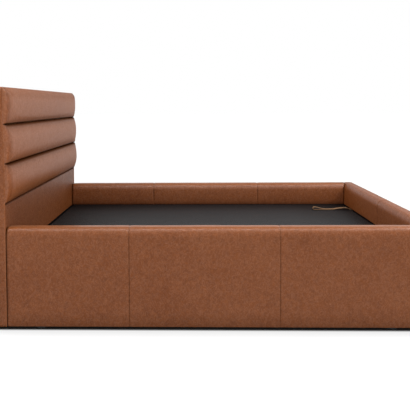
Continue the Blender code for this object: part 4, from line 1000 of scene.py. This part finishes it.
def studio_floor():
    """A pale floor that glows white away from the bed; near the bed its glow fades to a painted
    soft shadow, and under the bed it does not glow.
    """
    n = Nodes("pale_floor")
    x, y, _ = n.place()
    along = n.maths("SUBTRACT", n.maths("ABSOLUTE", x), -BACK_X)
    across = n.maths("SUBTRACT", n.maths("ABSOLUTE", y), HALF_OUTER)
    away = n.maths("MAXIMUM", along, across)
    # The glow is none under the bed and grows away from it: a painted soft shadow round the bed.
    glow = n.maths("ADD", n.spread(away, -0.004, 0.014, 0.0, 0.75),
                   n.spread(away, 0.0, 0.16, 0.0, 0.23, "SMOOTHSTEP"))
    grain = n.spread(n.noise(7.0, 4.0), 0.3, 0.7)
    colour = n.blend(grain, (0.115, 0.115, 0.115), (0.105, 0.105, 0.106))
    n.link(glow, n.shader.inputs["Emission Strength"])
    pale = n.out(colour, 0.9, Specular_IOR_Level=0.0, Emission_Color=(1, 1, 1, 1))
    mesh = bpy.data.meshes.new("floor")
    builder = bmesh.new()
    bmesh.ops.create_grid(builder, x_segments=8, y_segments=8, size=60)
    builder.to_mesh(mesh)
    builder.free()
    mesh.materials.append(pale)
    floor = bpy.data.objects.new("floor", mesh)
    floor.visible_glossy = False
    bpy.context.scene.collection.objects.link(floor)


def studio_light():
    """A white backdrop that is dimmer overhead and below, and three soft lights."""
    world = bpy.data.worlds.new("white_studio")
    bpy.context.scene.world = world
    world.use_nodes = True
    tree = world.node_tree
    back = tree.nodes["Background"]
    where = tree.nodes.new("ShaderNodeTexCoord")
    split = tree.nodes.new("ShaderNodeSeparateXYZ")
    shift = tree.nodes.new("ShaderNodeMapRange")
    ramp = tree.nodes.new("ShaderNodeValToRGB")
    shift.inputs["From Min"].default_value = -1
    stops = ((0.0, 0.20), (0.40, 0.24), (0.44, 1.0), (0.59, 1.0), (0.68, 0.48), (0.80, 0.45),
             (1.0, 0.50))
    while len(ramp.color_ramp.elements) < len(stops):
        ramp.color_ramp.elements.new(0.5)
    for element, (place, bright) in zip(ramp.color_ramp.elements, stops):
        element.position = place
        element.color = (bright, bright, bright, 1)
    tree.links.new(where.outputs["Generated"], split.inputs[0])
    tree.links.new(split.outputs["Z"], shift.inputs["Value"])
    tree.links.new(shift.outputs["Result"], ramp.inputs["Fac"])
    tree.links.new(ramp.outputs["Color"], back.inputs["Color"])
    back.inputs["Strength"].default_value = 1.0

    for name, place, target, size, energy in (
        ("front_strip", (0.0, -2.1, 3.15), (0.0, -0.6, 0.4), (4.8, 0.40), 74.0),
        ("right_box", (2.8, -0.4, 2.9), (-1.0, 0.0, 0.8), (1.4, 1.4), 88.0),
        ("left_box", (-2.8, -0.2, 3.0), (1.0, 0.0, 0.4), (1.4, 1.4), 75.0),
    ):
        light = bpy.data.lights.new(name, "AREA")
        light.shape = "RECTANGLE"
        light.size, light.size_y = size
        light.energy = energy
        lamp = bpy.data.objects.new(name, light)
        lamp.location = place
        way = Vector(target) - Vector(place)
        lamp.rotation_euler = way.to_track_quat("-Z", "Y").to_euler()
        bpy.context.scene.collection.objects.link(lamp)


def camera():
    """The camera of the photograph, from its focal length and centre in pixels and its angles."""
    picture, sensor = 410, 36
    focal, centre_px, centre_py = 605.25, 176.0, 128.48
    yaw, pitch, roll = -0.0270, 0.0400, -0.0062
    up = Vector((0, 0, 1))
    ahead = Vector((math.sin(yaw), math.cos(yaw), 0))
    right = Vector((math.cos(yaw), -math.sin(yaw), 0))
    pitched_ahead = ahead * math.cos(pitch) - up * math.sin(pitch)
    pitched_up = up * math.cos(pitch) + ahead * math.sin(pitch)
    rolled_right = right * math.cos(roll) + pitched_up * math.sin(roll)
    rolled_up = pitched_up * math.cos(roll) - right * math.sin(roll)
    turn = Matrix((rolled_right, rolled_up, -pitched_ahead)).transposed().to_4x4()
    data = bpy.data.cameras.new("photo_camera")
    data.sensor_width = sensor
    data.lens = sensor * focal / picture
    data.shift_x = (picture / 2 - centre_px) / picture
    data.shift_y = (centre_py - picture / 2) / picture
    data.clip_start, data.clip_end = 0.05, 200
    made = bpy.data.objects.new("photo_camera", data)
    made.matrix_world = Matrix.Translation((-0.1043, -3.7147, 1.0838)) @ turn
    bpy.context.scene.collection.objects.link(made)
    bpy.context.scene.camera = made


dress_nodes()
rails_and_footboard()
headboard()
back_lining()
lining_staples()
deck_cloth()
pull_strap()
studio_floor()
studio_light()
camera()
bpy.context.scene.view_settings.view_transform = "Standard"
